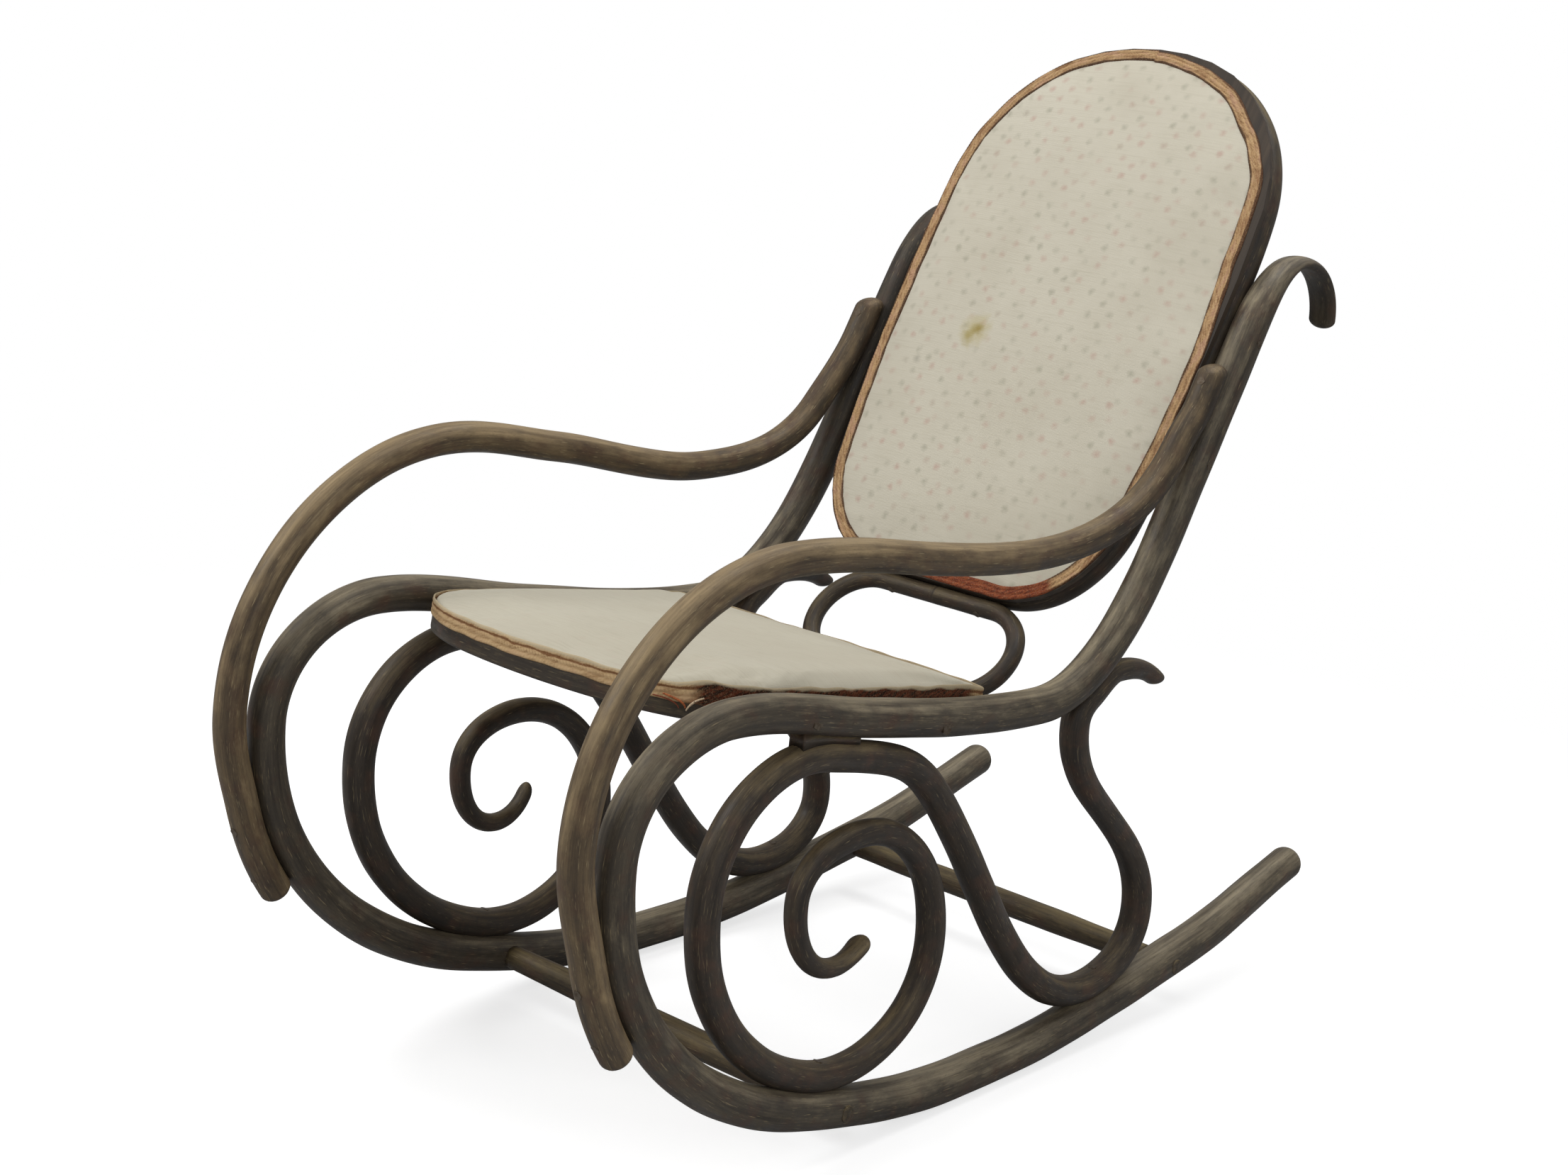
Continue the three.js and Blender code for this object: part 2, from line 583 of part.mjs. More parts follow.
// One side frame. The rail is bored, and the arm and the scroll are coped where they bed on it.
for (const [side, { sideways, frame }] of Object.entries(sides)) {
  const fasteners = fastenersOf({ sideways });
  const holes = Object.fromEntries(
    Object.entries(fasteners).map(([name, fastener]) => [name, holeFor(fastener)]),
  );
  const holesOf = (kind) => Object.entries(holes)
    .filter(([name]) => name.startsWith(kind))
    .map(([, hole]) => hole);
  const railCutter = rodAlong(railSections, rodSides, { grow: clearance });
  const armSections = sectionsAlong(
    armRouteOver(arm[side]), { startTip: arm.footTipLength, endTip: arm.endTipLength },
  );
  const scrollSections = sectionsAlong(
    scrollRouteFrom(scroll[side]), { startTip: scroll.tipLength, endTip: scroll.finialTipLength },
  );
  const scrollCutter = rodAlong(scrollSections, slimSides, { grow: clearance });
  frame.add(
    piece(`side_rail_${side}`, cutBy(rodAlong(railSections, rodSides), [
      mortiseAt(places.frontTenon), mortiseAt(places.rearTenon), ...Object.values(holes),
    ]), finish.wood),
    piece(`arm_${side}`, cutBy(
      rodAlong(armSections, slimSides, { cantShare: arm.endCantShare }),
      [railCutter, ...holesOf('arm_screw')],
    ), finish.wood),
    piece(`scroll_${side}`, cutBy(
      rodAlong(scrollSections, slimSides), [railCutter, ...holesOf('scroll_screw')],
    ), finish.wood),
    piece(
      `scroll_packer_${side}`, packerBetween(railCutter, scrollCutter, holes.scroll_screw_seat), finish.wood,
    ),
  );
  for (const [name, fastener] of Object.entries(fasteners)) {
    frame.add(fastenerAt(`${name}_${side}`, fastener));
  }
  sides[side].holes = holes;
}
chair.add(
  stretcherAt('front_stretcher', places.frontTenon),
  stretcherAt('rear_stretcher', places.rearTenon),
);

// The holes of some of the fasteners of both sides, seen from another frame.
function holesIn(frame, names) {
  return Object.values(sides).flatMap((side) => names.map(
    (name) => side.holes[name].clone().applyMatrix4(between(side.frame, frame)),
  ));
}

// A closed line from its right half, whose first and last knots lie on the middle line.
function mirrored(half) {
  const back = half.slice(0, -1).reverse();
  return routeThrough([...half, ...back.map((k) => knot(-k.u, k.v, -k.heading, k.broad))]);
}

// The outline of a closed line, moved inwards.
function outlineOf(route, inset) {
  return sectionsAlong(route, { closed: true }).map(({ u, v, heading }) => new THREE.Vector2(
    u + Math.sin(heading) * inset, v - Math.cos(heading) * inset,
  ));
}

function plateOf(outline, from, thick) {
  const plate = new THREE.ExtrudeGeometry(new THREE.Shape(outline), { depth: thick, bevelEnabled: false });
  plate.translate(0, 0, from);
  return plate;
}

// A closed band that follows an outline. Its section is a list of insets and heights.
function bandOn(outlineAt, section) {
  const lines = section.map(([inset, high]) => outlineAt(inset).map(({ x, y }) => [x, y, high]));
  return skinOver(lines[0].flatMap((_, i) => lines.map((line) => line[i])), lines.length, true);
}
function stripOn(outlineAt, inset, width, from, thick) {
  return bandOn(outlineAt, [
    [inset, from], [inset, from + thick], [inset + width, from + thick], [inset + width, from],
  ]);
}

// A cushion on an outline: sides that swell a little over their foot, then a crown.
// Each row gives a ring's width share, its share of the edge height and its share of the crown.
const cushionShares = [
  [0.985, 0, 0], [1, 0.5, 0], [0.985, 1, 0], [0.94, 1, 0.3], [0.84, 1, 0.6], [0.65, 1, 0.84], [0.4, 1, 0.96],
  [0.08, 1, 1],
];
function cushionOn(outline, from, edge, crown) {
  const middle = new THREE.Box2().setFromPoints(outline).getCenter(new THREE.Vector2());
  const points = cushionShares.flatMap(([width, edgeShare, crownShare]) => outline.map((corner) => {
    const place = corner.clone().sub(middle).multiplyScalar(width).add(middle);
    return [place.x, place.y, from + edge * edgeShare + (crown - edge) * crownShare];
  }));
  return skinOver(points, outline.length, false);
}

// The back: a closed bentwood ring screwed between the posts. A board, a pad and braid lie on its front.
const ringRoute = mirrored([
  knot(0, ring.crownHigh, 0, ring.rod),
  knot(ringHalf - ring.crownEndInset, ring.crownEndHigh, radians(ring.crownEndHeading), ring.rod),
  knot(ringHalf - ring.shoulderInset, ring.shoulderHigh, radians(ring.shoulderHeading), ring.rod),
  knot(ringHalf, ring.flankHigh, -quarter, ring.rod),
  knot(ringHalf - ring.waistInset, ring.waistHigh, radians(ring.waistHeading), ring.rod),
  knot(ring.footHalf, ring.footHigh, -2 * quarter, ring.rod),
  knot(0, ring.footHigh, -2 * quarter, ring.rod),
]);
const ringSections = sectionsAlong(ringRoute, { closed: true });
const boardFrom = ring.rod / 2 + clearance;
const boardEdge = back.boardInset - ring.rod / 2;
const coverFrom = boardFrom + back.boardThick + clearance;
const backBraidEdge = boardEdge + back.braidInset;
const backPadEdge = backBraidEdge + back.braidWidth + clearance;

// The lower loop: a thin closed rod under the ring, held by two screws driven up into it.
const loopStraight = lowerLoop.half - lowerLoop.bend;
const loopRoute = mirrored([
  knot(0, 0, 0, lowerLoop.rod),
  knot(loopStraight, 0, 0, lowerLoop.rod),
  knot(lowerLoop.half, -lowerLoop.depth / 2, -quarter, lowerLoop.rod),
  knot(loopStraight, -lowerLoop.depth, -2 * quarter, lowerLoop.rod),
  knot(0, -lowerLoop.depth, -2 * quarter, lowerLoop.rod),
]);
const loopSections = sectionsAlong(loopRoute, { closed: true });
const loopScrewOf = (sideways) => ({
  size: screw,
  head: new THREE.Vector3(sideways * loopScrews.half, -lowerLoop.rod / 2, 0),
  direction: new THREE.Vector3(0, 1, 0),
  length: lowerLoop.rod + screw.bite,
});
const loopHoles = Object.values(sides).map(({ sideways }) => holeFor(loopScrewOf(sideways)));
const ringCutter = rodAlong(ringSections, rodSides, { grow: clearance, closed: true });
ringCutter.applyMatrix4(between(ringFrame, loopFrame));
loopFrame.add(
  piece('lower_loop', cutBy(
    rodAlong(loopSections, loopSides, { closed: true }), [ringCutter, ...loopHoles],
  ), finish.wood),
  ...Object.entries(sides).map(
    ([side, { sideways }]) => fastenerAt(`loop_screw_${side}`, loopScrewOf(sideways)),
  ),
);
ringFrame.add(
  piece('back_ring', cutBy(rodAlong(ringSections, rodSides, { closed: true }), [
    ...holesIn(ringFrame, ['ring_screw_upper', 'ring_screw_lower']),
    ...loopHoles.map((hole) => hole.clone().applyMatrix4(between(loopFrame, ringFrame))),
  ]), finish.wood),
  piece('back_board', plateOf(outlineOf(ringRoute, boardEdge), boardFrom, back.boardThick), finish.board),
  piece('back_pad', cushionOn(
    outlineOf(ringRoute, backPadEdge), coverFrom, back.padEdge, back.padCrown,
  ), finish.fabric),
  piece('back_braid', stripOn(
    (inset) => outlineOf(ringRoute, inset), backBraidEdge, back.braidWidth, coverFrom, back.braidThick,
  ), finish.braid),
);

// The seat: a bent hoop of upright section bolted between the seat rails. A panel lies in a rebate
// of the hoop, the pad covers both, and braid runs round the edge.
function hoopOutline(inset) {
  const half = hoopHalf - inset;
  const rear = seat.rearBack - inset;
  const front = seat.frontForward - inset;
  const rearCorner = Math.max(seat.rearCorner - inset, seat.leastCorner);
  const frontCorner = Math.max(seat.frontCorner - inset, seat.leastCorner);
  const rearRun = half - rearCorner;
  const frontRun = half - frontCorner;
  return outlineOf(mirrored([
    knot(0, rear + seat.rearBow, 0, seat.hoopWidth),
    knot(rearRun, rear, -2 * Math.atan(seat.rearBow / rearRun), seat.hoopWidth),
    knot(half, rear - rearCorner, -quarter, seat.hoopWidth),
    knot(half, frontCorner - front, -quarter, seat.hoopWidth),
    knot(frontRun, -front, 2 * Math.atan(seat.frontBow / frontRun) - 2 * quarter, seat.hoopWidth),
    knot(0, -front - seat.frontBow, -2 * quarter, seat.hoopWidth),
  ]), 0);
}
const hoopFrom = seat.hoopRise - seat.hoopThick / 2;
const hoopTop = hoopFrom + seat.hoopThick;
const rebateEdge = seat.hoopWidth - seat.rebateWidth;
function hoopBlank() {
  const { hoopWidth: width, hoopRound: round } = seat;
  return bandOn(hoopOutline, [
    [0, hoopFrom + round], [0, hoopTop - round], [round, hoopTop], [width - round, hoopTop],
    [width, hoopTop - round], [width, hoopFrom + round], [width - round, hoopFrom], [round, hoopFrom],
  ]);
}
const rebate = plateOf(
  hoopOutline(rebateEdge - clearance), hoopTop - seat.panelThick - clearance, seat.panelThick + overrun,
);
seatFrame.add(
  piece('seat_hoop', cutBy(hoopBlank(), [
    rebate, ...holesIn(seatFrame, ['seat_bolt_front', 'seat_bolt_rear']),
  ]), finish.wood),
  piece('seat_panel', plateOf(
    hoopOutline(rebateEdge), hoopTop - seat.panelThick, seat.panelThick,
  ), finish.board),
  piece('seat_pad', cushionOn(
    hoopOutline(clearance), hoopTop + clearance, seat.padEdge, seat.padCrown,
  ), finish.fabric),
  piece('seat_braid', cutBy(stripOn(
    hoopOutline, -clearance - seat.braidThick, seat.braidThick, seat.braidRise, seat.braidHigh,
  ), holesIn(seatFrame, ['seat_bolt_front'])), finish.braid),
);

// The origin lies on the floor, under the middle of the chair.
const reach = new THREE.Box3().setFromObject(chair);
const middle = reach.getCenter(new THREE.Vector3());
chair.position.set(-middle.x, -middle.y, -reach.min.z);

export default chair;
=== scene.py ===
"""A bentwood rocking chair: stained and rubbed beech rods, with a padded back and seat edged in braid."""

import json

import bpy
import numpy as np
from mathutils import Matrix, Vector


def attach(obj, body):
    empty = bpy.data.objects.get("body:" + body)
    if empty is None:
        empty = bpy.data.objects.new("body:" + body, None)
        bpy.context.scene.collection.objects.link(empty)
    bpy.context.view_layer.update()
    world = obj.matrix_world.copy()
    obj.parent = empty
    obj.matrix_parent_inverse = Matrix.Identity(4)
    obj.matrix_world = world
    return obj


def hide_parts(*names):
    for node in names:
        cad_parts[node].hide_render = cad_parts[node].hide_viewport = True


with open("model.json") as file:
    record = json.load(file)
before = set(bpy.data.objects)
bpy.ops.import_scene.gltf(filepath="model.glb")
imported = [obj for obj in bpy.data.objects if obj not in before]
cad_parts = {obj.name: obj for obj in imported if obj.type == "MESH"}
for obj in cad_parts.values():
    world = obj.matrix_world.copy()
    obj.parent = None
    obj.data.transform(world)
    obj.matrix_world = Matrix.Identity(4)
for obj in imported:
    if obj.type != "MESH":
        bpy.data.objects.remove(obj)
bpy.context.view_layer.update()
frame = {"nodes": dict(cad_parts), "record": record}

# Side rails. Each is one beech rod, steamed and bent round into runner, front loop, seat rail,
# post and handle. It is turned round, swells along the runner and is planed flat at the handle.
# The dark stain has been rubbed thin by hands and feet, so the wood shows olive on the crests;
# on faces turned up the olive is partly painted top light.
MM = 0.001
soles = {m["name"]: np.array(m["pos_m"]) / MM for m in frame["record"]["mounts"]}
side_x, sole_y = soles["left_sole"][:2]
SIDES = {"left": 1, "right": -1}
RAIL = 36.0


def side_plane(sideways):
    """The plane of a side frame: its origin is the middle of the sole, its axes point back, up and left."""
    axes = np.array([[0.0, 1.0, 0.0], [0.0, 0.0, 1.0], [1.0, 0.0, 0.0]])
    return np.array([sideways * side_x, sole_y, 0.0]), axes


def knot(u, v, heading, broad, deep=None):
    """A place on a rod's middle line: back, up, its heading in degrees and its two diameters."""
    return np.array([u, v, np.radians(heading), broad, deep or broad])


def line_through(knots):
    """The middle line through the knots. Between two knots it is a cubic curve whose handles are the
    chord over three times the squared cosine of a quarter of the turn, which is an arc where the knots
    allow one. The girths change by 3 t squared less 2 t cubed. Rows: back, up, heading, two diameters,
    the way gone and the number of the stretch, about every millimetre."""
    rows = []
    for number, (a, b) in enumerate(zip(knots, knots[1:])):
        chord = np.hypot(*(b - a)[:2])
        turn = abs((b[2] - a[2] + np.pi) % (2 * np.pi) - np.pi)
        reach = chord / (3 * np.cos(turn / 4) ** 2)
        ahead_a = a[:2] + reach * np.array([np.cos(a[2]), np.sin(a[2])])
        ahead_b = b[:2] - reach * np.array([np.cos(b[2]), np.sin(b[2])])
        t = np.linspace(0, 1, max(int(chord), 8))[:, None]
        s = 1 - t
        place = s**3 * a[:2] + 3 * s**2 * t * ahead_a + 3 * s * t**2 * ahead_b + t**3 * b[:2]
        way = s**2 * (ahead_a - a[:2]) + 2 * s * t * (ahead_b - ahead_a) + t**2 * (b[:2] - ahead_b)
        heading = np.arctan2(way[:, 1], way[:, 0])[:, None]
        girths = a[3:] + (b[3:] - a[3:]) * (3 * t**2 - 2 * t**3)
        rows.append(np.hstack([place, heading, girths, np.full_like(t, number)])[min(number, 1):])
    line = np.vstack(rows)
    line[:, 2] = np.unwrap(line[:, 2])
    gone = np.concatenate([[0], np.cumsum(np.hypot(*np.diff(line[:, :2], axis=0).T))])
    return np.insert(line, 5, gone, axis=1)


def place_on(line, stretch, axis, value):
    """The row of a line where back (0) or up (1) has a value, on one of its stretches."""
    part = line[np.abs(line[:, 6] - stretch) < 0.5]
    order = np.argsort(part[:, axis])
    return np.array([np.interp(value, part[order, axis], part[order, k]) for k in range(7)])


def beside(line, stretch, axis, value, side, diameter, bed, turned=0):
    """The knot of a rod that lies against a line: the two half thicknesses away from it, less the bed.
    Side 1 is the left hand of the heading."""
    at = place_on(line, stretch, axis, value)
    away = at[2] + side * np.pi / 2
    reach = at[4] / 2 + diameter / 2 - bed
    u, v = at[0] + np.cos(away) * reach, at[1] + np.sin(away) * reach
    return knot(u, v, np.degrees(at[2]) + turned, diameter)


def girth(share):
    """A rail's thickness as a share of its nominal diameter."""
    return RAIL * share


post_foot, post_top = np.array([212.0, 526.0]), np.array([312.0, 716.0])
post_lean = np.arctan2(*(post_top - post_foot)[::-1])
sole_half, sole_share = 32.0, 1.08
rail_line = line_through([
    knot(583, 117, 194.5, girth(1.02)),
    knot(353, 57, 188.5, girth(1.13)),
    knot(sole_half, girth(sole_share) / 2, 180, girth(sole_share)),
    knot(-sole_half, girth(sole_share) / 2, 180, girth(sole_share)),
    knot(-263, 53.5, 165.9, girth(1.05)),
    knot(-520, 326, 90, girth(0.94)),
    knot(-402, 428, 0, girth(0.92)),
    knot(-222, 401.5, -8.8, girth(0.96)),
    knot(30, 375.6, 0, girth(0.97)),
    knot(*post_foot, np.degrees(post_lean), girth(1)),
    knot(*post_top, np.degrees(post_lean), girth(1)),
    knot(392, 785, 0, girth(0.87), girth(0.36)),
    knot(459, 717, -94, girth(0.84), girth(0.23)),
])
HEEL, TOE, FRONT, CROWN, SEAT, BEND, POST = 1, 3, 4, 6, 7, 8, 9


def wobble(gone, angle, seed):
    """What scraping by hand leaves: three slow waves along and round the rod, each a sine of the way
    gone over its length plus the angle times its turns, a third of a millimetre high in all."""
    dice = np.random.default_rng(seed)
    full_turn, high = 6.28, 0.11
    lengths, turns, starts = dice.uniform(60, 240, 3), dice.integers(1, 3, 3), dice.uniform(0, full_turn, 3)
    waves = [np.sin(full_turn * gone / l + n * angle + p) for l, n, p in zip(lengths, turns, starts)]
    return high * sum(waves)


def ring_quads(rings, around, closed=False):
    """The faces between each ring of a skin's points and the next. If closed, the last joins the first."""
    ids = np.arange(rings * around).reshape(rings, around)
    ahead = np.roll(ids, -1, axis=0)
    quads = np.stack([ids, np.roll(ids, -1, axis=1), np.roll(ahead, -1, axis=1), ahead], -1)
    return quads[:rings if closed else rings - 1].reshape(-1, 4).tolist()


def end_fans(rings, around):
    """The faces that close a skin's two ends, from the two poles that follow its rings of points."""
    ring, first_pole, top = np.arange(around), np.full(around, rings * around), (rings - 1) * around
    ahead = np.roll(ring, -1)
    return np.concatenate([np.stack([first_pole, ahead, ring], 1),
                           np.stack([first_pole + 1, top + ring, top + ahead], 1)]).tolist()


def rod_skin(plane, line, seed, around=28, step=3.0, tips=None, cant=0.0):
    """A rod's skin: round each place of its middle line lies an ellipse with the two half diameters. Over
    a tip it is drawn in to the root of 1 - (1 - way / tip) squared, and cant slides the last end along
    itself by that share of the height, as a slanting cut does. A rod without tips is closed. Gives the
    points, the faces and where each point lay in the rod before it was bent."""
    origin, axes = plane
    total = line[-1, 5]
    if tips:
        bow = 1 - np.cos(np.linspace(0, np.pi / 2, 9))[1:]
        inner = np.arange(tips[0] + step / 2, total - tips[1] - step / 2, step)
        gone = np.concatenate([tips[0] * bow, inner, (total - tips[1] * bow)[::-1]])
        near_tip = np.minimum(gone / tips[0], (total - gone) / tips[1])
        drawn = np.sqrt(1 - (1 - np.clip(near_tip, 0, 1)) ** 2)
    else:
        gone = np.arange(step / 2, total - step / 2, step)
        drawn = np.ones_like(gone)
    u, v, heading, broad, deep = (np.interp(gone, line[:, 5], line[:, k])[:, None] for k in range(5))
    gone, drawn = gone[:, None], drawn[:, None]
    angle = np.linspace(0, 2 * np.pi, around, endpoint=False)[None, :]
    rough = wobble(gone, angle, seed) * np.minimum(drawn, broad / RAIL)
    across = (broad / 2 * drawn + rough) * np.cos(angle)
    inward = (deep / 2 * drawn + rough * (deep / broad)) * np.sin(angle)
    slant = cant * np.clip(1 - (total - gone) / (2 * RAIL), 0, 1) * inward
    back = u - np.sin(heading) * inward + np.cos(heading) * slant
    up = v + np.cos(heading) * inward + np.sin(heading) * slant
    points = np.stack([back, up, across], -1).reshape(-1, 3)
    straight = np.stack([across, inward, np.broadcast_to(gone, back.shape)], -1).reshape(-1, 3)
    faces = ring_quads(len(gone), around, closed=not tips)
    if tips:
        points = np.vstack([points, [[*line[0, :2], 0], [*line[-1, :2], 0]]])
        straight = np.vstack([straight, [[0, 0, 0], [0, 0, total]]])
        faces += end_fans(len(gone), around)
    return origin + points @ axes, faces, straight


def in_scene(name, data):
    """A new object in the scene that shows the data."""
    shown = bpy.data.objects.new(name, data)
    bpy.context.scene.collection.objects.link(shown)
    return shown


def dress(mesh, pattern, material):
    """Makes a mesh smooth, gives it its material and keeps where its points lie in the pattern."""
    held = mesh.attributes.new("pattern", "FLOAT_VECTOR", "POINT")
    held.data.foreach_set("vector", (pattern * MM).astype(np.float32).ravel())
    mesh.polygons.foreach_set("use_smooth", np.ones(len(mesh.polygons), bool))
    mesh.materials.clear()
    mesh.materials.append(material)


def make_piece(name, points, faces, pattern, material, slot, *nodes):
    """Puts points in millimetres into a mesh, turns the faces outwards, so that the volume they enclose
    is positive, and lets the piece stand for its CAD nodes."""
    mesh = bpy.data.meshes.new(name)
    mesh.from_pydata((points * MM).tolist(), [], faces)
    dress(mesh, pattern, material)
    mesh.calc_loop_triangles()
    corners = np.empty(3 * len(mesh.loop_triangles), np.int32)
    mesh.loop_triangles.foreach_get("vertices", corners)
    a, b, c = points[corners.reshape(-1, 3).T] * MM
    if (a * np.cross(b, c)).sum() < 0:
        mesh.flip_normals()
    piece = in_scene(name, mesh)
    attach(piece, "root")
    if nodes:
        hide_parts(*nodes)


def colour(code):
    """An sRGB hex colour as linear red, green, blue and alpha."""
    shown = np.array([int(code[i:i + 2], 16) for i in (1, 3, 5)]) / 255
    linear = np.where(shown <= 0.04045, shown / 12.92, ((shown + 0.055) / 1.055) ** 2.4)
    return (*linear.tolist(), 1.0)


def add(tree, kind, inputs=None, **settings):
    """Adds a node with its settings and inputs: each input is a value, a hex colour or another node's
    output, which is linked."""
    node = tree.nodes.new(kind)
    for key, value in settings.items():
        setattr(node, key, value)
    for key, value in (inputs or {}).items():
        if isinstance(value, bpy.types.NodeSocket):
            tree.links.new(value, node.inputs[key])
        else:
            node.inputs[key].default_value = colour(value) if isinstance(value, str) else value
    return node


def new_material(name, constants):
    """A material, its nodes and its shader, whose constants are set on its own sockets."""
    material = bpy.data.materials.new(name)
    material.use_nodes = True
    shader = material.node_tree.nodes["Principled BSDF"]
    for key, value in constants.items():
        shader.inputs[key].default_value = value
    return material, material.node_tree, shader


def figures(tree, grain, sizes, roughness=0.5):
    """Patterns along the grain, each from its width and its length in millimetres and its detail."""
    found = []
    for wide, long, detail in sizes:
        scale = (1 / (wide * MM), 1 / (wide * MM), 1 / (long * MM))
        place = add(tree, "ShaderNodeMapping", {"Vector": grain, "Scale": scale})
        noise = add(tree, "ShaderNodeTexNoise", {"Vector": place.outputs[0], "Scale": 1.0, "Detail": detail,
                                                 "Roughness": roughness})
        found.append(noise.outputs["Fac"])
    return found


def coated(tree, ground, coats):
    """Lays coats of colour over a ground. A coat is a value, the two figures between which it goes from
    nothing to whole, the share that it then covers, and its colour."""
    for value, begins, whole, most, over in coats:
        cover = add(tree, "ShaderNodeMapRange", {"Value": value, "From Min": begins, "From Max": whole,
                                                 "To Max": most})
        laid = add(tree, "ShaderNodeMix", {0: cover.outputs[0], 6: ground, 7: over}, data_type="RGBA")
        ground = laid.outputs[2]
    return ground


# Beech is pale and even, with short dark flecks. Here a black-brown stain lies under old wax: near
# black where it is thick, olive tan where it is rubbed, with streaks that follow the bent grain. Faces
# turned up are painted lighter, as painted top light, and faces turned down near black, as painted shade.
def stained_beech(name, wear_and_painted_light, dark="#241e18", mid="#463c30", rubbed="#83734f", kept_stain_and_shade=None):
    """Stained beech. Its second argument is from 0, the stain whole, to about 1, rubbed thin. Rubbing takes
    the crests that face up first, then blotches of 11 mm by 30 mm; the lighter faces turned up are partly
    painted top light. Where the sum is low, mostly on faces turned down, a near black coat is painted shade.
    Streaks of 1.6 mm by 60 mm, flecks of 0.9 mm by 5 mm and pale scratches follow the rod, and the stain has
    a reddish cast in places. Its last argument gives an axis and two places on it in metres, between which
    it is rubbed less by the
    last number: towards the rear of the arms as stain left whole, up the far rail's post as painted shade."""
    material, tree, shader = new_material(name, {"Specular IOR Level": 0.34})
    grain = add(tree, "ShaderNodeAttribute", attribute_name="pattern").outputs["Vector"]
    spot = add(tree, "ShaderNodeTexCoord").outputs["Object"]
    streaks, flecks, bands, blotches, scratches = figures(
        tree, grain, [(1.6, 60, 4.0), (0.9, 5, 2.0), (7, 160, 3.0), (11, 30, 5.0), (1.1, 16, 2.0)], 0.62)
    patch_size, cast_size = 80 * MM, 26 * MM
    patches = add(tree, "ShaderNodeTexNoise", {"Vector": spot, "Scale": 1 / patch_size, "Detail": 5.0})
    cast = add(tree, "ShaderNodeTexNoise", {"Vector": spot, "Scale": 1 / cast_size, "Detail": 4.0})
    normal = add(tree, "ShaderNodeNewGeometry").outputs["Normal"]
    facing = add(tree, "ShaderNodeSeparateXYZ", {"Vector": normal})
    # Faces turned up count as rubbed: partly wear, partly painted top light.
    wear_and_light_terms = [(patches.outputs["Fac"], 0.5), (blotches, 0.75), (streaks, 0.35), (facing.outputs["Z"], 0.4)]
    if kept_stain_and_shade:
        axis, rubbed_to, whole_from, less = kept_stain_and_shade
        place = add(tree, "ShaderNodeSeparateXYZ", {"Vector": spot}).outputs[axis]
        whole = add(tree, "ShaderNodeMapRange", {"Value": place, "From Min": rubbed_to,
                                                 "From Max": whole_from})
        wear_and_light_terms.append((whole.outputs[0], -less))
    wear_and_light = 0.0
    for source, weight in wear_and_light_terms:
        part = add(tree, "ShaderNodeMath", {0: source, 1: weight, 2: wear_and_light}, operation="MULTIPLY_ADD")
        wear_and_light = part.outputs[0]
    stain = coated(tree, dark, [(bands, 0.3, 0.7, 1.0, mid),
                                (cast.outputs["Fac"], 0.5, 0.68, 0.6, "#4c3426")])
    bare = coated(tree, mid, [(bands, 0.35, 0.7, 1.0, rubbed)])
    thin_from = 0.92 - 0.1 * wear_and_painted_light
    wood = coated(tree, stain, [
        (wear_and_light, thin_from, thin_from + 0.34, 1.0, bare),
        # Where the sum is low, mostly on faces turned down, the wood goes near black: painted shade.
        (wear_and_light, 0.72, 0.4, 0.75, "#1b1612"),
        (streaks, 0.53, 0.7, 0.55 - 0.25 * wear_and_painted_light, "#1a1511"),
        (flecks, 0.58, 0.74, 0.5 - 0.15 * wear_and_painted_light, "#1c1611"),
        (scratches, 0.62, 0.74, 0.25 + 0.3 * wear_and_painted_light, "#a08f6c"),
    ])
    tree.links.new(wood, shader.inputs["Base Color"])
    wax = add(tree, "ShaderNodeMapRange", {"Value": blotches, "From Min": 0.3, "From Max": 0.7,
                                           "To Min": 0.42, "To Max": 0.7})
    tree.links.new(wax.outputs[0], shader.inputs["Roughness"])
    fine = add(tree, "ShaderNodeMath", {0: streaks, 1: 0.6}, operation="MULTIPLY")
    high = add(tree, "ShaderNodeMath", {0: blotches, 1: 0.8, 2: fine.outputs[0]}, operation="MULTIPLY_ADD")
    relief = add(tree, "ShaderNodeBump", {"Height": high.outputs[0], "Strength": 0.5, "Distance": 0.5 * MM})
    tree.links.new(relief.outputs[0], shader.inputs["Normal"])
    return material


rail_stain = {"wear_and_painted_light": 0.7, "dark": "#28221b", "mid": "#534a3c", "rubbed": "#968a72"}
# The far rail is rubbed less from 0.44 m up, so its post and handle are darker: painted shade.
rail_wood = {"left": stained_beech("stained_beech_rail", **rail_stain),
             "right": stained_beech("stained_beech_far_rail_painted_shade", kept_stain_and_shade=("Z", 0.44, 0.58, 0.45), **rail_stain)}
TAIL_TIP, HANDLE_TIP = 17.0, 9.0
for side, sideways in SIDES.items():
    skin = rod_skin(side_plane(sideways), rail_line, 10 + sideways, around=32, tips=(TAIL_TIP, HANDLE_TIP))
    make_piece(f"rail_rod_{side}", *skin, rail_wood[side], "bentwood", f"side_rail_{side}")

# Arms. A thinner rod is screwed against the front loop, rises over it as the arm rest and ends
# against the front of the post, cut level and rounded. The two were bent by hand and differ.
ARM, ARM_BED = 29.0, 0.8
ARM_ON_LOOP, ARM_ON_POST = (181, 260), (632, 672)
ARM_BENDS = {
    "left": [knot(-563, 347.5, 90, ARM), knot(-345, 551.5, 0, ARM), knot(-206, 540, -8.2, ARM),
             knot(-6, 522.5, 0, ARM), knot(211, 611, 58, ARM)],
    "right": [knot(-559.5, 338, 90, ARM), knot(-322, 567.5, 0, ARM), knot(-196, 551, -8.5, ARM),
              knot(8, 519, 0, ARM), knot(181.5, 574, 48.5, ARM)],
}
arm_wood = stained_beech("stained_beech_arm", 1.3, dark="#392e22", mid="#6e5c42", rubbed="#a28d6a",
                         kept_stain_and_shade=("Y", -0.09, 0.13, 0.32))
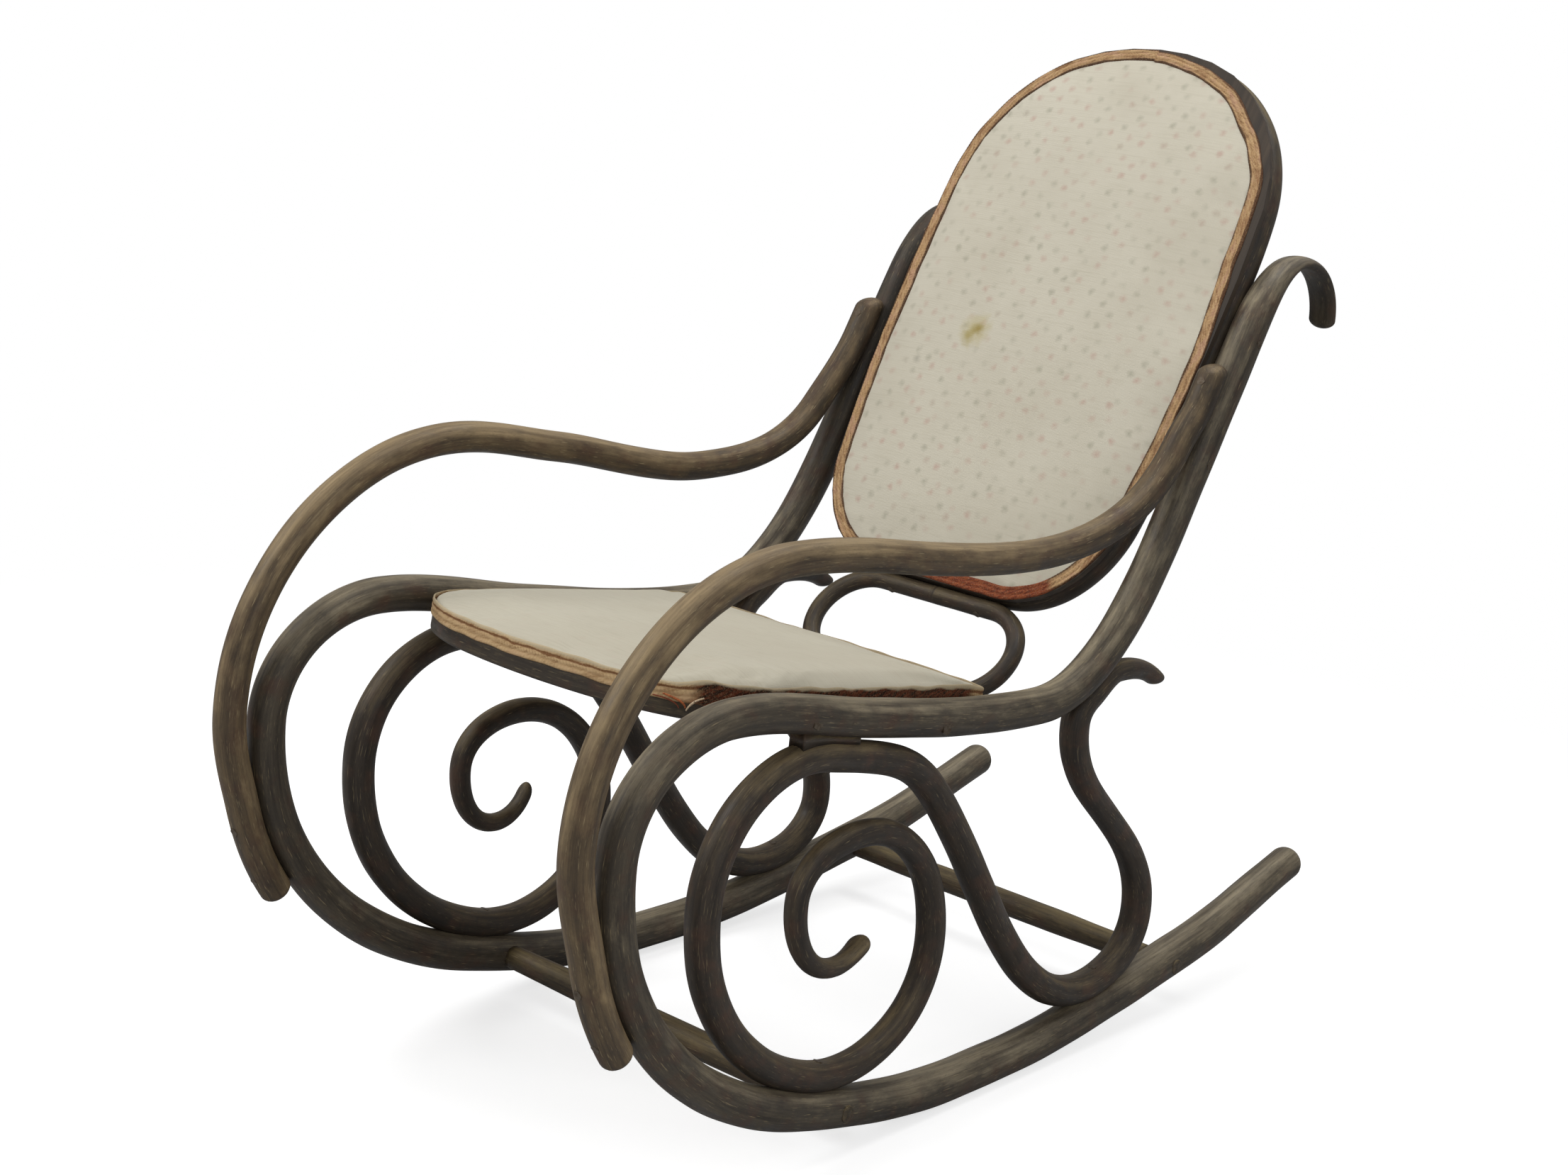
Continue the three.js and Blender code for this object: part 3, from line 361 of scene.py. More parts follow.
for side, sideways in SIDES.items():
    low, high = (beside(rail_line, FRONT, 1, at, 1, ARM, ARM_BED) for at in ARM_ON_LOOP)
    foot, end = (beside(rail_line, POST, 1, at, 1, ARM, ARM_BED) for at in ARM_ON_POST)
    arm_line = line_through([low, high, *ARM_BENDS[side], foot, end])
    skin = rod_skin(side_plane(sideways), arm_line, 20 + sideways, tips=(9.0, 12.0), cant=-0.5)
    make_piece(f"arm_rod_{side}", *skin, arm_wood, "bentwood", f"arm_{side}")

# Scrolls. One slim rod on each side starts in a flattened spiral, opens into a loop that stands
# on the runner, waves down and up behind it and ends in a finial at the bend of the seat rail.
SCROLL = 28.5
TOE_AT, SEAT_AT, HEEL_AT, POST_AT = -252.0, -267.0, 196.0, 102.0
SPIRALS = {
    "left": [knot(-195, 199, 226, SCROLL * 0.86, SCROLL * 0.32), knot(-234, 179, 180, SCROLL * 0.62),
             knot(-295, 249, 90, SCROLL * 0.72), knot(-218, 297, 0, SCROLL * 0.84)],
    "right": [knot(-198, 216, 262, SCROLL * 0.6, SCROLL * 0.42), knot(-236, 182, 180, SCROLL * 0.62),
              knot(-288, 244, 90, SCROLL * 0.72), knot(-218, 292, 0, SCROLL * 0.84)],
}
scroll_wood = stained_beech("stained_beech_scroll", 0.4, mid="#40362b", rubbed="#75664a")
toe = beside(rail_line, TOE, 0, TOE_AT, -1, SCROLL, bed=3.5)
crest = beside(rail_line, CROWN, 0, SEAT_AT, -1, SCROLL, bed=-2)
heel = beside(rail_line, HEEL, 0, HEEL_AT, -1, SCROLL * 1.09, bed=4.8, turned=180)
neck = beside(rail_line, BEND, 0, POST_AT, -1, SCROLL * 0.86, bed=1)
for side, sideways in SIDES.items():
    scroll_line = line_through([
        *SPIRALS[side],
        knot(-97, 170, -90, SCROLL * 0.965),
        toe,
        knot(-413, 271.5, 90, SCROLL * 1.04),
        crest,
        knot(-131, 328, -42.3, SCROLL * 1.03),
        heel,
        knot(258, 121, 90, SCROLL * 1.09),
        knot(180.5, 237, 139.6, SCROLL * 0.92),
        knot(96.5, 348, 90, SCROLL),
        neck,
        knot(neck[0] + 43.5, neck[1] + 21, 2, SCROLL * 0.78),
        knot(neck[0] + 119.5, neck[1] - 0.5, -36, SCROLL * 0.62),
    ])
    skin = rod_skin(side_plane(sideways), scroll_line, 30 + sideways, tips=(13.0, 8.0), cant=0.8)
    make_piece(f"scroll_rod_{side}", *skin, scroll_wood, "bentwood", f"scroll_{side}")

# Packers. A small beech block fills the wedge between the top of each scroll and the seat rail.
# Its two hollowed faces fit the rods, and the scroll's screw runs through it.
PACKER_WIDE, PACKER_FRONT, PACKER_REAR, PACKER_THIN = 16.0, 45.0, 30.0, 0.2
packer_wood = stained_beech("stained_beech_packer", 0.1)


def height_over(line, back):
    """The height of a line's middle and its half thickness over places near the scroll's crest."""
    near = line[(np.abs(line[:, 0] - crest[0]) < 2 * PACKER_FRONT) & (line[:, 1] > crest[1] - RAIL)]
    near = near[np.argsort(near[:, 0])]
    return np.interp(back, near[:, 0], near[:, 1]), np.interp(back, near[:, 0], near[:, 4]) / 2


def packer_skin(plane):
    """A block between two round rods: its faces lie half a rod's thickness from each rod's middle, by the
    root of the half thickness squared less the way across squared."""
    origin, axes = plane
    back, across = np.meshgrid(crest[0] + np.linspace(-PACKER_FRONT, PACKER_REAR, 40),
                               np.linspace(-PACKER_WIDE / 2, PACKER_WIDE / 2, 9))
    rail_high, rail_half = height_over(rail_line, back)
    scroll_high, scroll_half = height_over(scroll_line, back)
    over = rail_high - np.sqrt(rail_half**2 - across**2)
    under = np.minimum(scroll_high + np.sqrt(scroll_half**2 - across**2), over - PACKER_THIN)
    lower, upper = np.stack([back, under, across], -1), np.stack([back, over, across], -1)
    bands = np.concatenate([lower, upper[:, ::-1]], axis=1)
    rings, around = bands.shape[:2]
    i = np.arange(around // 2 - 1)
    end = np.stack([i, i + 1, around - 2 - i, around - 1 - i], 1)
    faces = ring_quads(rings, around) + end[:, [1, 0, 3, 2]].tolist() + (end + (rings - 1) * around).tolist()
    points = bands.reshape(-1, 3)
    return origin + points @ axes, faces, (points - [crest[0], crest[1], 0])[:, ::-1]


for side, sideways in SIDES.items():
    make_piece(f"packer_block_{side}", *packer_skin(side_plane(sideways)), packer_wood, "bentwood",
               f"scroll_packer_{side}")

# Stretchers. Two turned rods hold the runners apart. Their ends are tenons that pass right
# through the runners and were cut off flush, so the end grain shows as a disc on the outside.
STRETCHER, NECK, TENON, TAPER = 13.5, 11.5, 8.0, 120.0
stretcher_wood = stained_beech("stained_beech_stretcher", 0.8, dark="#2b241b", mid="#574a36")


def turned_rod(name, u, v, half_profile, material, node, around=28):
    """A turned rod across the chair: a profile of half thicknesses over the way from its middle, spun."""
    way, radius = np.array(half_profile).T
    reach, radius = np.concatenate([-way[::-1], way[1:]]), np.concatenate([radius[::-1], radius[1:]])
    fine = np.unique(np.concatenate([reach, np.arange(-way[-1], way[-1], 6.0)]))[:, None]
    angle = np.linspace(0, 2 * np.pi, around, endpoint=False)[None, :]
    thick = np.interp(fine, reach, radius) + wobble(fine, angle, 40 + int(abs(u))) * 0.8
    pattern = np.stack([thick * np.cos(angle), thick * np.sin(angle), fine + 0 * thick], -1).reshape(-1, 3)
    pattern = np.vstack([pattern, [[0, 0, fine[0, 0]], [0, 0, fine[-1, 0]]]])
    faces = ring_quads(len(fine), around) + end_fans(len(fine), around)
    make_piece(name, pattern[:, [2, 0, 1]] + [0, sole_y + u, v], faces, pattern, material, "bentwood", node)


for name, stretch, at in (("front_stretcher", TOE, -214), ("rear_stretcher", HEEL, 324)):
    through = place_on(rail_line, stretch, 0, at)
    shoulder, face = side_x - through[3] / 2, side_x + through[3] / 2
    profile = [(0, STRETCHER), (shoulder - TAPER, STRETCHER), (shoulder + 1.5, NECK),
               (shoulder + 2, TENON), (face + 0.25, TENON - 0.2), (face + 0.3, TENON - 0.6)]
    turned_rod(f"{name}_rod", *through[:2], profile, stretcher_wood, name)

# Back ring. A round rod bent into a closed oval, scarfed at its foot, and screwed between the posts.
# It carries the board, pad and braid on its front.
RING, GAP, RING_LOW = 28.5, 0.3, 104.5
ring_half = side_x - girth(1) / 2 - GAP - RING / 2


def leaning_plane(u, v, lean):
    """A plane across the chair: its axes point left, back and up at the lean, and out of its front."""
    axes = np.array([[1.0, 0.0, 0.0], [0.0, np.cos(lean), np.sin(lean)], [0.0, -np.sin(lean), np.cos(lean)]])
    return np.array([0.0, sole_y + u, v]), axes


def mirrored(half):
    """A closed line from its left half, whose first and last knots lie on the middle line."""
    return line_through([*half, *(k * [-1, 1, -1, 1, 1] for k in half[-2::-1])])


ring_plane = leaning_plane(*post_foot, post_lean)
ring_line = mirrored([
    knot(0, 488, 0, RING),
    knot(ring_half - 64, 451, -40, RING),
    knot(ring_half - 3, 336, -84, RING),
    knot(ring_half, 185, -90, RING),
    knot(ring_half - 11.5, -4, -97, RING),
    knot(75, -RING_LOW, -180, RING),
    knot(0, -RING_LOW, -180, RING),
])
ring_wood = stained_beech("stained_beech_ring", 0.45, mid="#453c31")
make_piece("ring_rod", *rod_skin(ring_plane, ring_line, 50), ring_wood, "bentwood", "back_ring")

# Lower loop. A thin rod bent into a flat oval hangs under the ring on two screws.
LOOP, LOOP_HALF, LOOP_DEPTH, LOOP_BEND, LOOP_BED = 18.5, 121.0, 104.0, 52.0, 0.8
loop_lean = np.radians(45.0)
loop_reach = RING / 2 + LOOP / 2 - LOOP_BED
loop_top = post_foot - RING_LOW * np.array([np.cos(post_lean), np.sin(post_lean)])
loop_top = loop_top - loop_reach * np.array([np.cos(loop_lean), np.sin(loop_lean)])
loop_straight = LOOP_HALF - LOOP_BEND
loop_line = mirrored([
    knot(0, 0, 0, LOOP), knot(loop_straight, 0, 0, LOOP), knot(LOOP_HALF, -LOOP_DEPTH / 2, -90, LOOP),
    knot(loop_straight, -LOOP_DEPTH, -180, LOOP), knot(0, -LOOP_DEPTH, -180, LOOP),
])
loop_skin = rod_skin(leaning_plane(*loop_top, loop_lean), loop_line, 60, around=24)
make_piece("lower_loop_rod", *loop_skin, scroll_wood, "bentwood", "lower_loop")

# Seat hoop. A bent band of upright section, rounded at its edges, bolted between the seat rails.
# The panel lies in a rebate along its inner top edge.
HOOP_WIDE, HOOP_THICK, HOOP_RISE, HOOP_ROUND = 25.0, 23.0, 4.5, 3.0
HOOP_REAR, HOOP_FRONT, REAR_CORNER, FRONT_CORNER, HOOP_BOW = 111.0, 292.0, 21.0, 112.0, 8.0
SEAT_BRAID_THICK = 1.6
BOLT_LOW, HOOP_FRONT_RISE = 3.0, -4.0
hoop_half = side_x - girth(0.97) / 2 - GAP - SEAT_BRAID_THICK - GAP
bolt_front = place_on(rail_line, CROWN, 0, -313)
bolt_rear = place_on(rail_line, SEAT, 0, -134)
hoop_drop = bolt_rear[1] + HOOP_RISE - bolt_front[1] - HOOP_FRONT_RISE
seat_lean = np.arctan2(hoop_drop, bolt_rear[0] - bolt_front[0])
seat_plane = leaning_plane(bolt_rear[0], bolt_rear[1] - BOLT_LOW, seat_lean)
rear_run, front_run = hoop_half - REAR_CORNER, hoop_half - FRONT_CORNER
hoop_line = mirrored([
    knot(0, HOOP_REAR + HOOP_BOW, 0, HOOP_WIDE),
    knot(rear_run, HOOP_REAR, np.degrees(-2 * np.arctan(HOOP_BOW / rear_run)), HOOP_WIDE),
    knot(hoop_half, HOOP_REAR - REAR_CORNER, -90, HOOP_WIDE),
    knot(hoop_half, FRONT_CORNER - HOOP_FRONT, -90, HOOP_WIDE),
    knot(front_run, -HOOP_FRONT, np.degrees(2 * np.arctan(HOOP_BOW / front_run)) - 180, HOOP_WIDE),
    knot(0, -HOOP_FRONT - HOOP_BOW, -180, HOOP_WIDE),
])
hoop_from = HOOP_RISE - HOOP_THICK / 2
hoop_top = hoop_from + HOOP_THICK


def set_in(line, gone, inset, high):
    """Points beside a line: at each way gone they lie to the right of its heading by the insets, and out
    of its plane by the heights."""
    u, v, heading = (np.interp(gone, line[:, 5], line[:, k]) for k in range(3))
    back, up = u + np.sin(heading) * inset, v - np.cos(heading) * inset
    return np.stack([back, up, high + 0 * back], -1)


def hoop_skin(step=3.0):
    """A band round the hoop's outline: its section is a rectangle with a quarter circle at each corner."""
    origin, axes = seat_plane
    gone = np.arange(0, hoop_line[-1, 5] - step / 2, step)[:, None]
    out, into, low, top = HOOP_ROUND, HOOP_WIDE - HOOP_ROUND, hoop_from + HOOP_ROUND, hoop_top - HOOP_ROUND
    corners = np.array([[into, top], [out, top], [out, low], [into, low]])[:, None]
    turn = np.radians(np.add.outer([0, 90, 180, 270], np.linspace(0, 90, 5)))
    section = (corners + HOOP_ROUND * np.stack([np.cos(turn), np.sin(turn)], -1)).reshape(-1, 2)
    inset, high = section.T[:, None] + 0 * gone
    points = set_in(hoop_line, gone, inset, high)
    pattern = np.stack([inset, high, gone + 0 * high], -1)
    faces = ring_quads(*high.shape, closed=True)
    return origin + points.reshape(-1, 3) @ axes, faces, pattern.reshape(-1, 3)


make_piece("hoop_band", *hoop_skin(), ring_wood, "bentwood", "seat_hoop")

# Board and panel. Thin plywood closes the back ring and the seat hoop. It stays as the CAD solid. The
# board, whose rim shows beside the braid, is stained like the ring; the panel is bare old birch ply.
def old_plywood(name, lean, dark, pale, dulled):
    """Birch plywood: a long soft figure of 6 mm by 220 mm, stained or bare, with a dull surface."""
    material, tree, shader = new_material(name, {"Roughness": 0.72})
    spot = add(tree, "ShaderNodeTexCoord").outputs["Object"]
    turned = add(tree, "ShaderNodeMapping", {"Vector": spot, "Rotation": (-lean, 0, 0)})
    figure_wide, figure_long, wash_size = 6 * MM, 220 * MM, 110 * MM
    scale = (1 / figure_wide, 1 / figure_long, 1 / figure_wide)
    place = add(tree, "ShaderNodeMapping", {"Vector": turned.outputs[0], "Scale": scale})
    figure = add(tree, "ShaderNodeTexNoise", {"Vector": place.outputs[0], "Scale": 1.0, "Detail": 5.0,
                                              "Distortion": 0.4}).outputs["Fac"]
    wash = add(tree, "ShaderNodeTexNoise", {"Vector": spot, "Scale": 1 / wash_size, "Detail": 3.0})
    aged = coated(tree, dark, [(figure, 0.3, 0.7, 1.0, pale),
                               (wash.outputs["Fac"], 0.4, 0.75, 0.5, dulled)])
    tree.links.new(aged, shader.inputs["Base Color"])
    relief = add(tree, "ShaderNodeBump", {"Height": figure, "Strength": 0.2, "Distance": 0.3 * MM})
    tree.links.new(relief.outputs[0], shader.inputs["Normal"])
    return material


for node_name, lean, tones in (("back_board", post_lean, ("#2e261e", "#4a3d2f", "#241d17")),
                               ("seat_panel", seat_lean, ("#6d5338", "#8d7150", "#54402c"))):
    slots = frame["nodes"][node_name].data.materials
    slots.clear()
    slots.append(old_plywood(f"old_birch_plywood_{node_name}", lean, *tones))


# Fabric. A printed cotton, off-white gone grey-beige, with rows of tiny faded sprigs in rose and
# grey. It is stretched over thin stuffing on the back and on the seat.
def printed_cotton(name, plain, faded, marks=()):
    """Old printed cotton: a plain weave, small blurred sprigs in loose rows, slubs, and faint soiling.
    Threads of half a millimetre are too fine to show, so they are drawn 1.3 mm apart. marks are stains:
    their place, their radius, their colour and their strength."""
    material, tree, shader = new_material(name, {"Roughness": 0.92, "Specular IOR Level": 0.2,
                                                 "Sheen Weight": 0.1})
    cloth = add(tree, "ShaderNodeAttribute", attribute_name="pattern").outputs["Vector"]
    thread, row, sprig, fray, soiling = 1.3 * MM, 18.0 * MM, 4.6 * MM, 5 * MM, 90 * MM
    slub_long, slub_wide, stain_edge = 45 * MM, 1.8 * MM, 9 * MM
    turned = add(tree, "ShaderNodeMapping", {"Vector": cloth, "Rotation": (0, 0, 0.62),
                                             "Scale": (1 / row, 1 / row, 0.0)})
    frayed = add(tree, "ShaderNodeTexNoise", {"Vector": cloth, "Scale": 1 / fray, "Detail": 2.0})
    ragged = add(tree, "ShaderNodeVectorMath", {0: frayed.outputs["Color"], 1: (0.35, 0.35, 0.0),
                                                2: turned.outputs[0]}, operation="MULTIPLY_ADD")
    cells = add(tree, "ShaderNodeTexVoronoi", {"Vector": ragged.outputs[0], "Scale": 1.0,
                                               "Randomness": 0.62}, voronoi_dimensions="2D")
    chance = add(tree, "ShaderNodeSeparateColor", {"Color": cells.outputs["Color"]})
    left = add(tree, "ShaderNodeMapRange", {"Value": chance.outputs["Green"], "To Min": 0.25 * (1 - faded),
                                            "To Max": 0.75 * (1 - faded)})
    ink = coated(tree, "#b8978a", [(chance.outputs["Red"], 0.45, 0.55, 1.0, "#9d9a88")])
    soil = add(tree, "ShaderNodeTexNoise", {"Vector": cloth, "Scale": 1 / soiling, "Detail": 6.0,
                                            "Roughness": 0.6})
    drawn_out = add(tree, "ShaderNodeMapping", {"Vector": cloth,
                                                "Scale": (1 / slub_long, 1 / slub_wide, 0.0)})
    slubs = add(tree, "ShaderNodeTexNoise", {"Vector": drawn_out.outputs[0], "Scale": 1.0, "Detail": 3.0})
    coats = [(cells.outputs["Distance"], 1.15 * sprig / row, 0.0, left.outputs[0], ink),
             (soil.outputs["Fac"], 0.42, 0.75, 0.35 + 0.3 * faded, "#b3ab98"),
             (slubs.outputs["Fac"], 0.5, 0.75, 0.25 + 0.3 * faded, "#aaa28d")]
    spread = add(tree, "ShaderNodeTexNoise", {"Vector": cloth, "Scale": 1 / stain_edge, "Detail": 4.0})
    for (u, v), radius, code, strength in marks:
        away = add(tree, "ShaderNodeVectorMath", {0: cloth, 1: (1, 1, 0), 2: (-u * MM, -v * MM, 0)},
                   operation="MULTIPLY_ADD")
        gone = add(tree, "ShaderNodeVectorMath", {0: away.outputs[0]}, operation="LENGTH").outputs["Value"]
        reach = add(tree, "ShaderNodeMath", {0: spread.outputs["Fac"], 1: radius * MM, 2: gone},
                    operation="MULTIPLY_ADD")
        coats.append((reach.outputs[0], 1.45 * radius * MM, 0.55 * radius * MM, strength, code))
    tree.links.new(coated(tree, plain, coats), shader.inputs["Base Color"])
    wave_length = 6.283 / 20
    threads = [add(tree, "ShaderNodeTexWave", {"Vector": cloth, "Scale": wave_length / thread,
                                               "Distortion": 1.5, "Detail": 2.0, "Detail Scale": 1.0},
                   bands_direction=way) for way in ("X", "Y")]
    weave = add(tree, "ShaderNodeMath", {0: threads[0].outputs["Fac"], 1: threads[1].outputs["Fac"]},
                operation="ADD")
    relief = add(tree, "ShaderNodeBump", {"Height": weave.outputs[0], "Strength": 0.25,
                                          "Distance": 0.2 * MM})
    tree.links.new(relief.outputs[0], shader.inputs["Normal"])
    return material


def eased(value, low, high):
    """A smooth step: 0 at low, 1 at high, and 3 t squared less 2 t cubed between them."""
    t = np.clip((value - low) / (high - low), 0, 1)
    return t * t * (3 - 2 * t)


def slip(gone):
    """How far the back's cover has been drawn in from its outline. It is 0 on the far side and rises by
    smooth steps to 9 mm round the near shoulder of the ring, with a corner 3 mm deeper where it has slipped
    most and one 2 mm less deep where a nail held."""
    drawn = 9.0 * eased(gone, -40, 110) * eased(gone, 440, 300)
    corner = 3.0 * eased(gone, 100, 150) * eased(gone, 195, 150)
    return drawn + corner - 2.0 * eased(gone, 190, 225) * eased(gone, 270, 225)


def shifted_stuffing(across, back):
    """How much higher the seat's near edge stands, where the stuffing has worked its way beside the rail.
    It rises by smooth steps from 0 to 6.8 mm at the front corner and falls again towards the back."""
    beside_rail = eased(across, 70, 160) * eased(back, -272, -246) * eased(back, 105, 70)
    return beside_rail * (6.8 - 3.2 * eased(back, -215, 60))


def pad_form(line, low, edge, deep, inset, crown, drawn=None, lifted=None):
    """A stuffed pad on an outline. It starts deep under its foot. Over it the rings shrink towards the
    middle as 1 - t, and the height rises from the edge to the crown as 1 - (1 - t) to the power 3."""
    around, rings, inmost, crowding, half_wide = 400, 60, 0.97, 1.3, 200.0
    gone = np.linspace(0, line[-1, 5], around, endpoint=False)
    outline = set_in(line, gone, inset + (drawn(gone) if drawn else 0), 0)[:, :2]
    middle = (outline.min(0) + outline.max(0)) / 2
    t = np.linspace(0, inmost, rings) ** crowding
    turn = np.linspace(0, np.pi / 2, 6)[:-1]
    shoulder = edge / half_wide
    share = np.concatenate([[1.0], 1 - shoulder * (1 - np.cos(turn)), (1 - shoulder) * (1 - t)])
    high = np.concatenate([[low - deep], low + edge * np.sin(turn),
                           low + edge + (crown - edge) * (1 - (1 - t) ** 3)])
    ring = middle + (outline - middle)[None] * share[:, None, None]
    points = np.concatenate([ring, np.broadcast_to(high[:, None, None], ring.shape[:2] + (1,))], -1)
    if lifted:
        rising = np.clip((points[..., 2] - low) / edge, 0, 1)
        points[..., 2] += lifted(points[..., 0], points[..., 1]) * rising
    last = (len(share) - 1) * around
    foot, top = list(range(around))[::-1], list(range(last, last + around))
    return points.reshape(-1, 3), ring_quads(len(share), around) + [foot, top]


def places_of(mesh):
    """The places of a mesh's points, one row for each."""
    places = np.empty(len(mesh.vertices) * 3)
    mesh.vertices.foreach_get("co", places)
    return places.reshape(-1, 3)


def stuff(name, node, material, plane, line, low, edge, cap, fill, voxel, **form):
    """A stuffed pad: its form is remeshed in voxels and swollen as cloth under pressure without gravity.
    No point moves more than the cap. What lies under the foot is then flattened onto it."""
    origin, axes = plane
    points, faces = pad_form(line, low, edge, deep=2 * voxel, **form)
    blank = bpy.data.meshes.new(name)
    blank.from_pydata((points * MM).tolist(), [], faces)
    pad = in_scene(name, blank)
    bpy.context.view_layer.objects.active = pad
    remesh = pad.modifiers.new("even", "REMESH")
    remesh.mode, remesh.voxel_size = "VOXEL", voxel * MM
    even = bpy.data.meshes.new_from_object(pad.evaluated_get(bpy.context.evaluated_depsgraph_get()))
    pad.modifiers.clear()
    pad.data = even
    start = settled = places_of(even)
    foot = pad.vertex_groups.new(name="foot")
    foot.add(np.flatnonzero(start[:, 2] < (low + 0.5 * edge) * MM).tolist(), 1.0, "REPLACE")
    cloth = pad.modifiers.new("cloth", "CLOTH")
    cloth.settings.use_pressure = True
    cloth.settings.uniform_pressure_force = 4.0
    cloth.settings.vertex_group_mass = "foot"
    cloth.settings.effector_weights.gravity = 0.0
    for at in range(1, 21):
        bpy.context.scene.frame_set(at)
    settled = places_of(pad.evaluated_get(bpy.context.evaluated_depsgraph_get()).data)
    bpy.context.scene.frame_set(1)
    pad.modifiers.clear()
    moved = settled - start
    length = np.linalg.norm(moved, axis=1, keepdims=True)
    flat = (start + moved * np.minimum(1, cap * MM / np.maximum(length, 1e-9))) / MM
    flat[:, 2] = np.maximum(flat[:, 2], low)
    even.vertices.foreach_set("co", ((origin + flat @ axes) * MM).ravel())
    dress(even, flat, material)
    even.update()
    smooth = pad.modifiers.new("smooth", "SUBSURF")
    smooth.levels = smooth.render_levels = 1
    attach(pad, "root")
    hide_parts(node)


BOARD_THICK, BACK_BRAID_WIDE, BACK_BRAID_THICK, UNDER_BRAID = 7.0, 14.0, 2.2, 3.5
cover_from = RING / 2 + GAP + BOARD_THICK + GAP
back_braid_edge = 3.0 - RING / 2 + 0.8
back_pad_edge = back_braid_edge + BACK_BRAID_WIDE + GAP
back_marks = [((-69.0, 151.0), 23.0, "#b5a878", 0.8), ((-75.0, 142.0), 12.0, "#a2935c", 0.75),
              ((-66.0, 152.0), 10.0, "#93803f", 0.8), ((-129.0, 109.0), 7.0, "#8f8b7e", 0.6)]
back_cotton = printed_cotton("printed_cotton_back", "#c9c3b2", 0.0, back_marks)
seat_cotton = printed_cotton("printed_cotton_seat", "#bdb7a5", 0.8)
stuff("back_cushion", "back_pad", back_cotton, ring_plane, ring_line, inset=back_pad_edge - UNDER_BRAID,
      low=cover_from, edge=1.2, crown=9.0, cap=5.0, fill=0.6, voxel=4.6, drawn=slip)
stuff("seat_cushion", "seat_pad", seat_cotton, seat_plane, hoop_line, inset=GAP + 0.2,
      low=hoop_top + GAP, edge=8.5, crown=13.5, cap=4.0, fill=0.5, voxel=4.0, lifted=shifted_stuffing)


# Braid. A woven edging of wool and cotton glued over the raw edge of the fabric: three ridges of
# slanting strands. It has faded to tan, with rust and dark brown where it is worn or was kept. Along the
# seat's near side the dark is partly painted shade, and so are the dark lines at the back braid's edges.
def worn_braid(name, tans, lines, wear_and_painted_light, wear_and_shade_from, wear_and_shade_to, frayed):
    """Old gimp braid: tan on the crowns of the strands, brown between them, with slanting darker strands
    of 1.6 mm by 9 mm. tans are the colours of its edges, crowns, dull patches, pinkish patches and dark
    strands. lines are wavering lines along it: their colour, their place across it and their half width in
    millimetres. Between the two places along it the braid turns to the two colours given for its ground
    there:
    rubbed-down pile, and on the seat's near side also painted shade. From frayed across it the threads of
    the cotton have come over it."""
    material, tree, shader = new_material(name, {"Roughness": 0.9, "Specular IOR Level": 0.2})
    woven = add(tree, "ShaderNodeAttribute", attribute_name="pattern").outputs["Vector"]
    parts = add(tree, "ShaderNodeSeparateXYZ", {"Vector": woven})
    edges, crowns, dull, pinkish, dark = tans
    fibres, tone, wander = figures(tree, woven, [(1.1, 0.7, 3.0), (9, 26, 3.0), (6, 20, 3.0)])
    slanting = add(tree, "ShaderNodeMapping", {"Vector": woven, "Rotation": (0, 0.35, 0)})
    strands = figures(tree, slanting.outputs[0], [(1.6, 9, 3.0)])[0]
    coats = [(parts.outputs["Y"], 0.1 * MM, 1.5 * MM, 1.0, crowns), (tone, 0.5, 0.64, 0.75, dull),
             (tone, 0.48, 0.36, 0.7, pinkish), (strands, 0.54, 0.68, 0.7, dark),
             (strands, 0.47, 0.34, 0.6, "#c6a981")]
    sway, stray, near, far = 5.0 * MM, 24 * MM, 8, 20
    across, along = (add(tree, "ShaderNodeMath", {0: wander, 1: most, 2: parts.outputs[way]},
                         operation="MULTIPLY_ADD").outputs[0] for most, way in ((sway, "X"), (stray, "Z")))
    for code, at, half in lines:
        off = add(tree, "ShaderNodeMath", {0: across, 1: sway / 2 + at * MM}, operation="SUBTRACT")
        aside = add(tree, "ShaderNodeMath", {0: off.outputs[0]}, operation="ABSOLUTE").outputs[0]
        coats.append((aside, half * MM, 0.5 * half * MM, 0.9, code))
    begun = add(tree, "ShaderNodeMapRange", {"Value": along, "From Min": (wear_and_shade_from + near) * MM,
                                             "From Max": (wear_and_shade_from + far) * MM}).outputs[0]
    ground = coated(tree, wear_and_painted_light[0], [(strands, 0.42, 0.6, 1.0, wear_and_painted_light[1])])
    coats += [(along, (wear_and_shade_to + far) * MM, (wear_and_shade_to + near) * MM, begun, ground),
              (across, sway / 2 + frayed * MM, sway / 2 + (frayed + 1.5) * MM, 0.85, "#b7a98c"),
              (fibres, 0.5, 0.8, 0.35, "#cdb08a")]
    tree.links.new(coated(tree, edges, coats), shader.inputs["Base Color"])
    relief = add(tree, "ShaderNodeBump", {"Height": fibres, "Strength": 0.5, "Distance": 0.4 * MM})
    tree.links.new(relief.outputs[0], shader.inputs["Normal"])
    return material


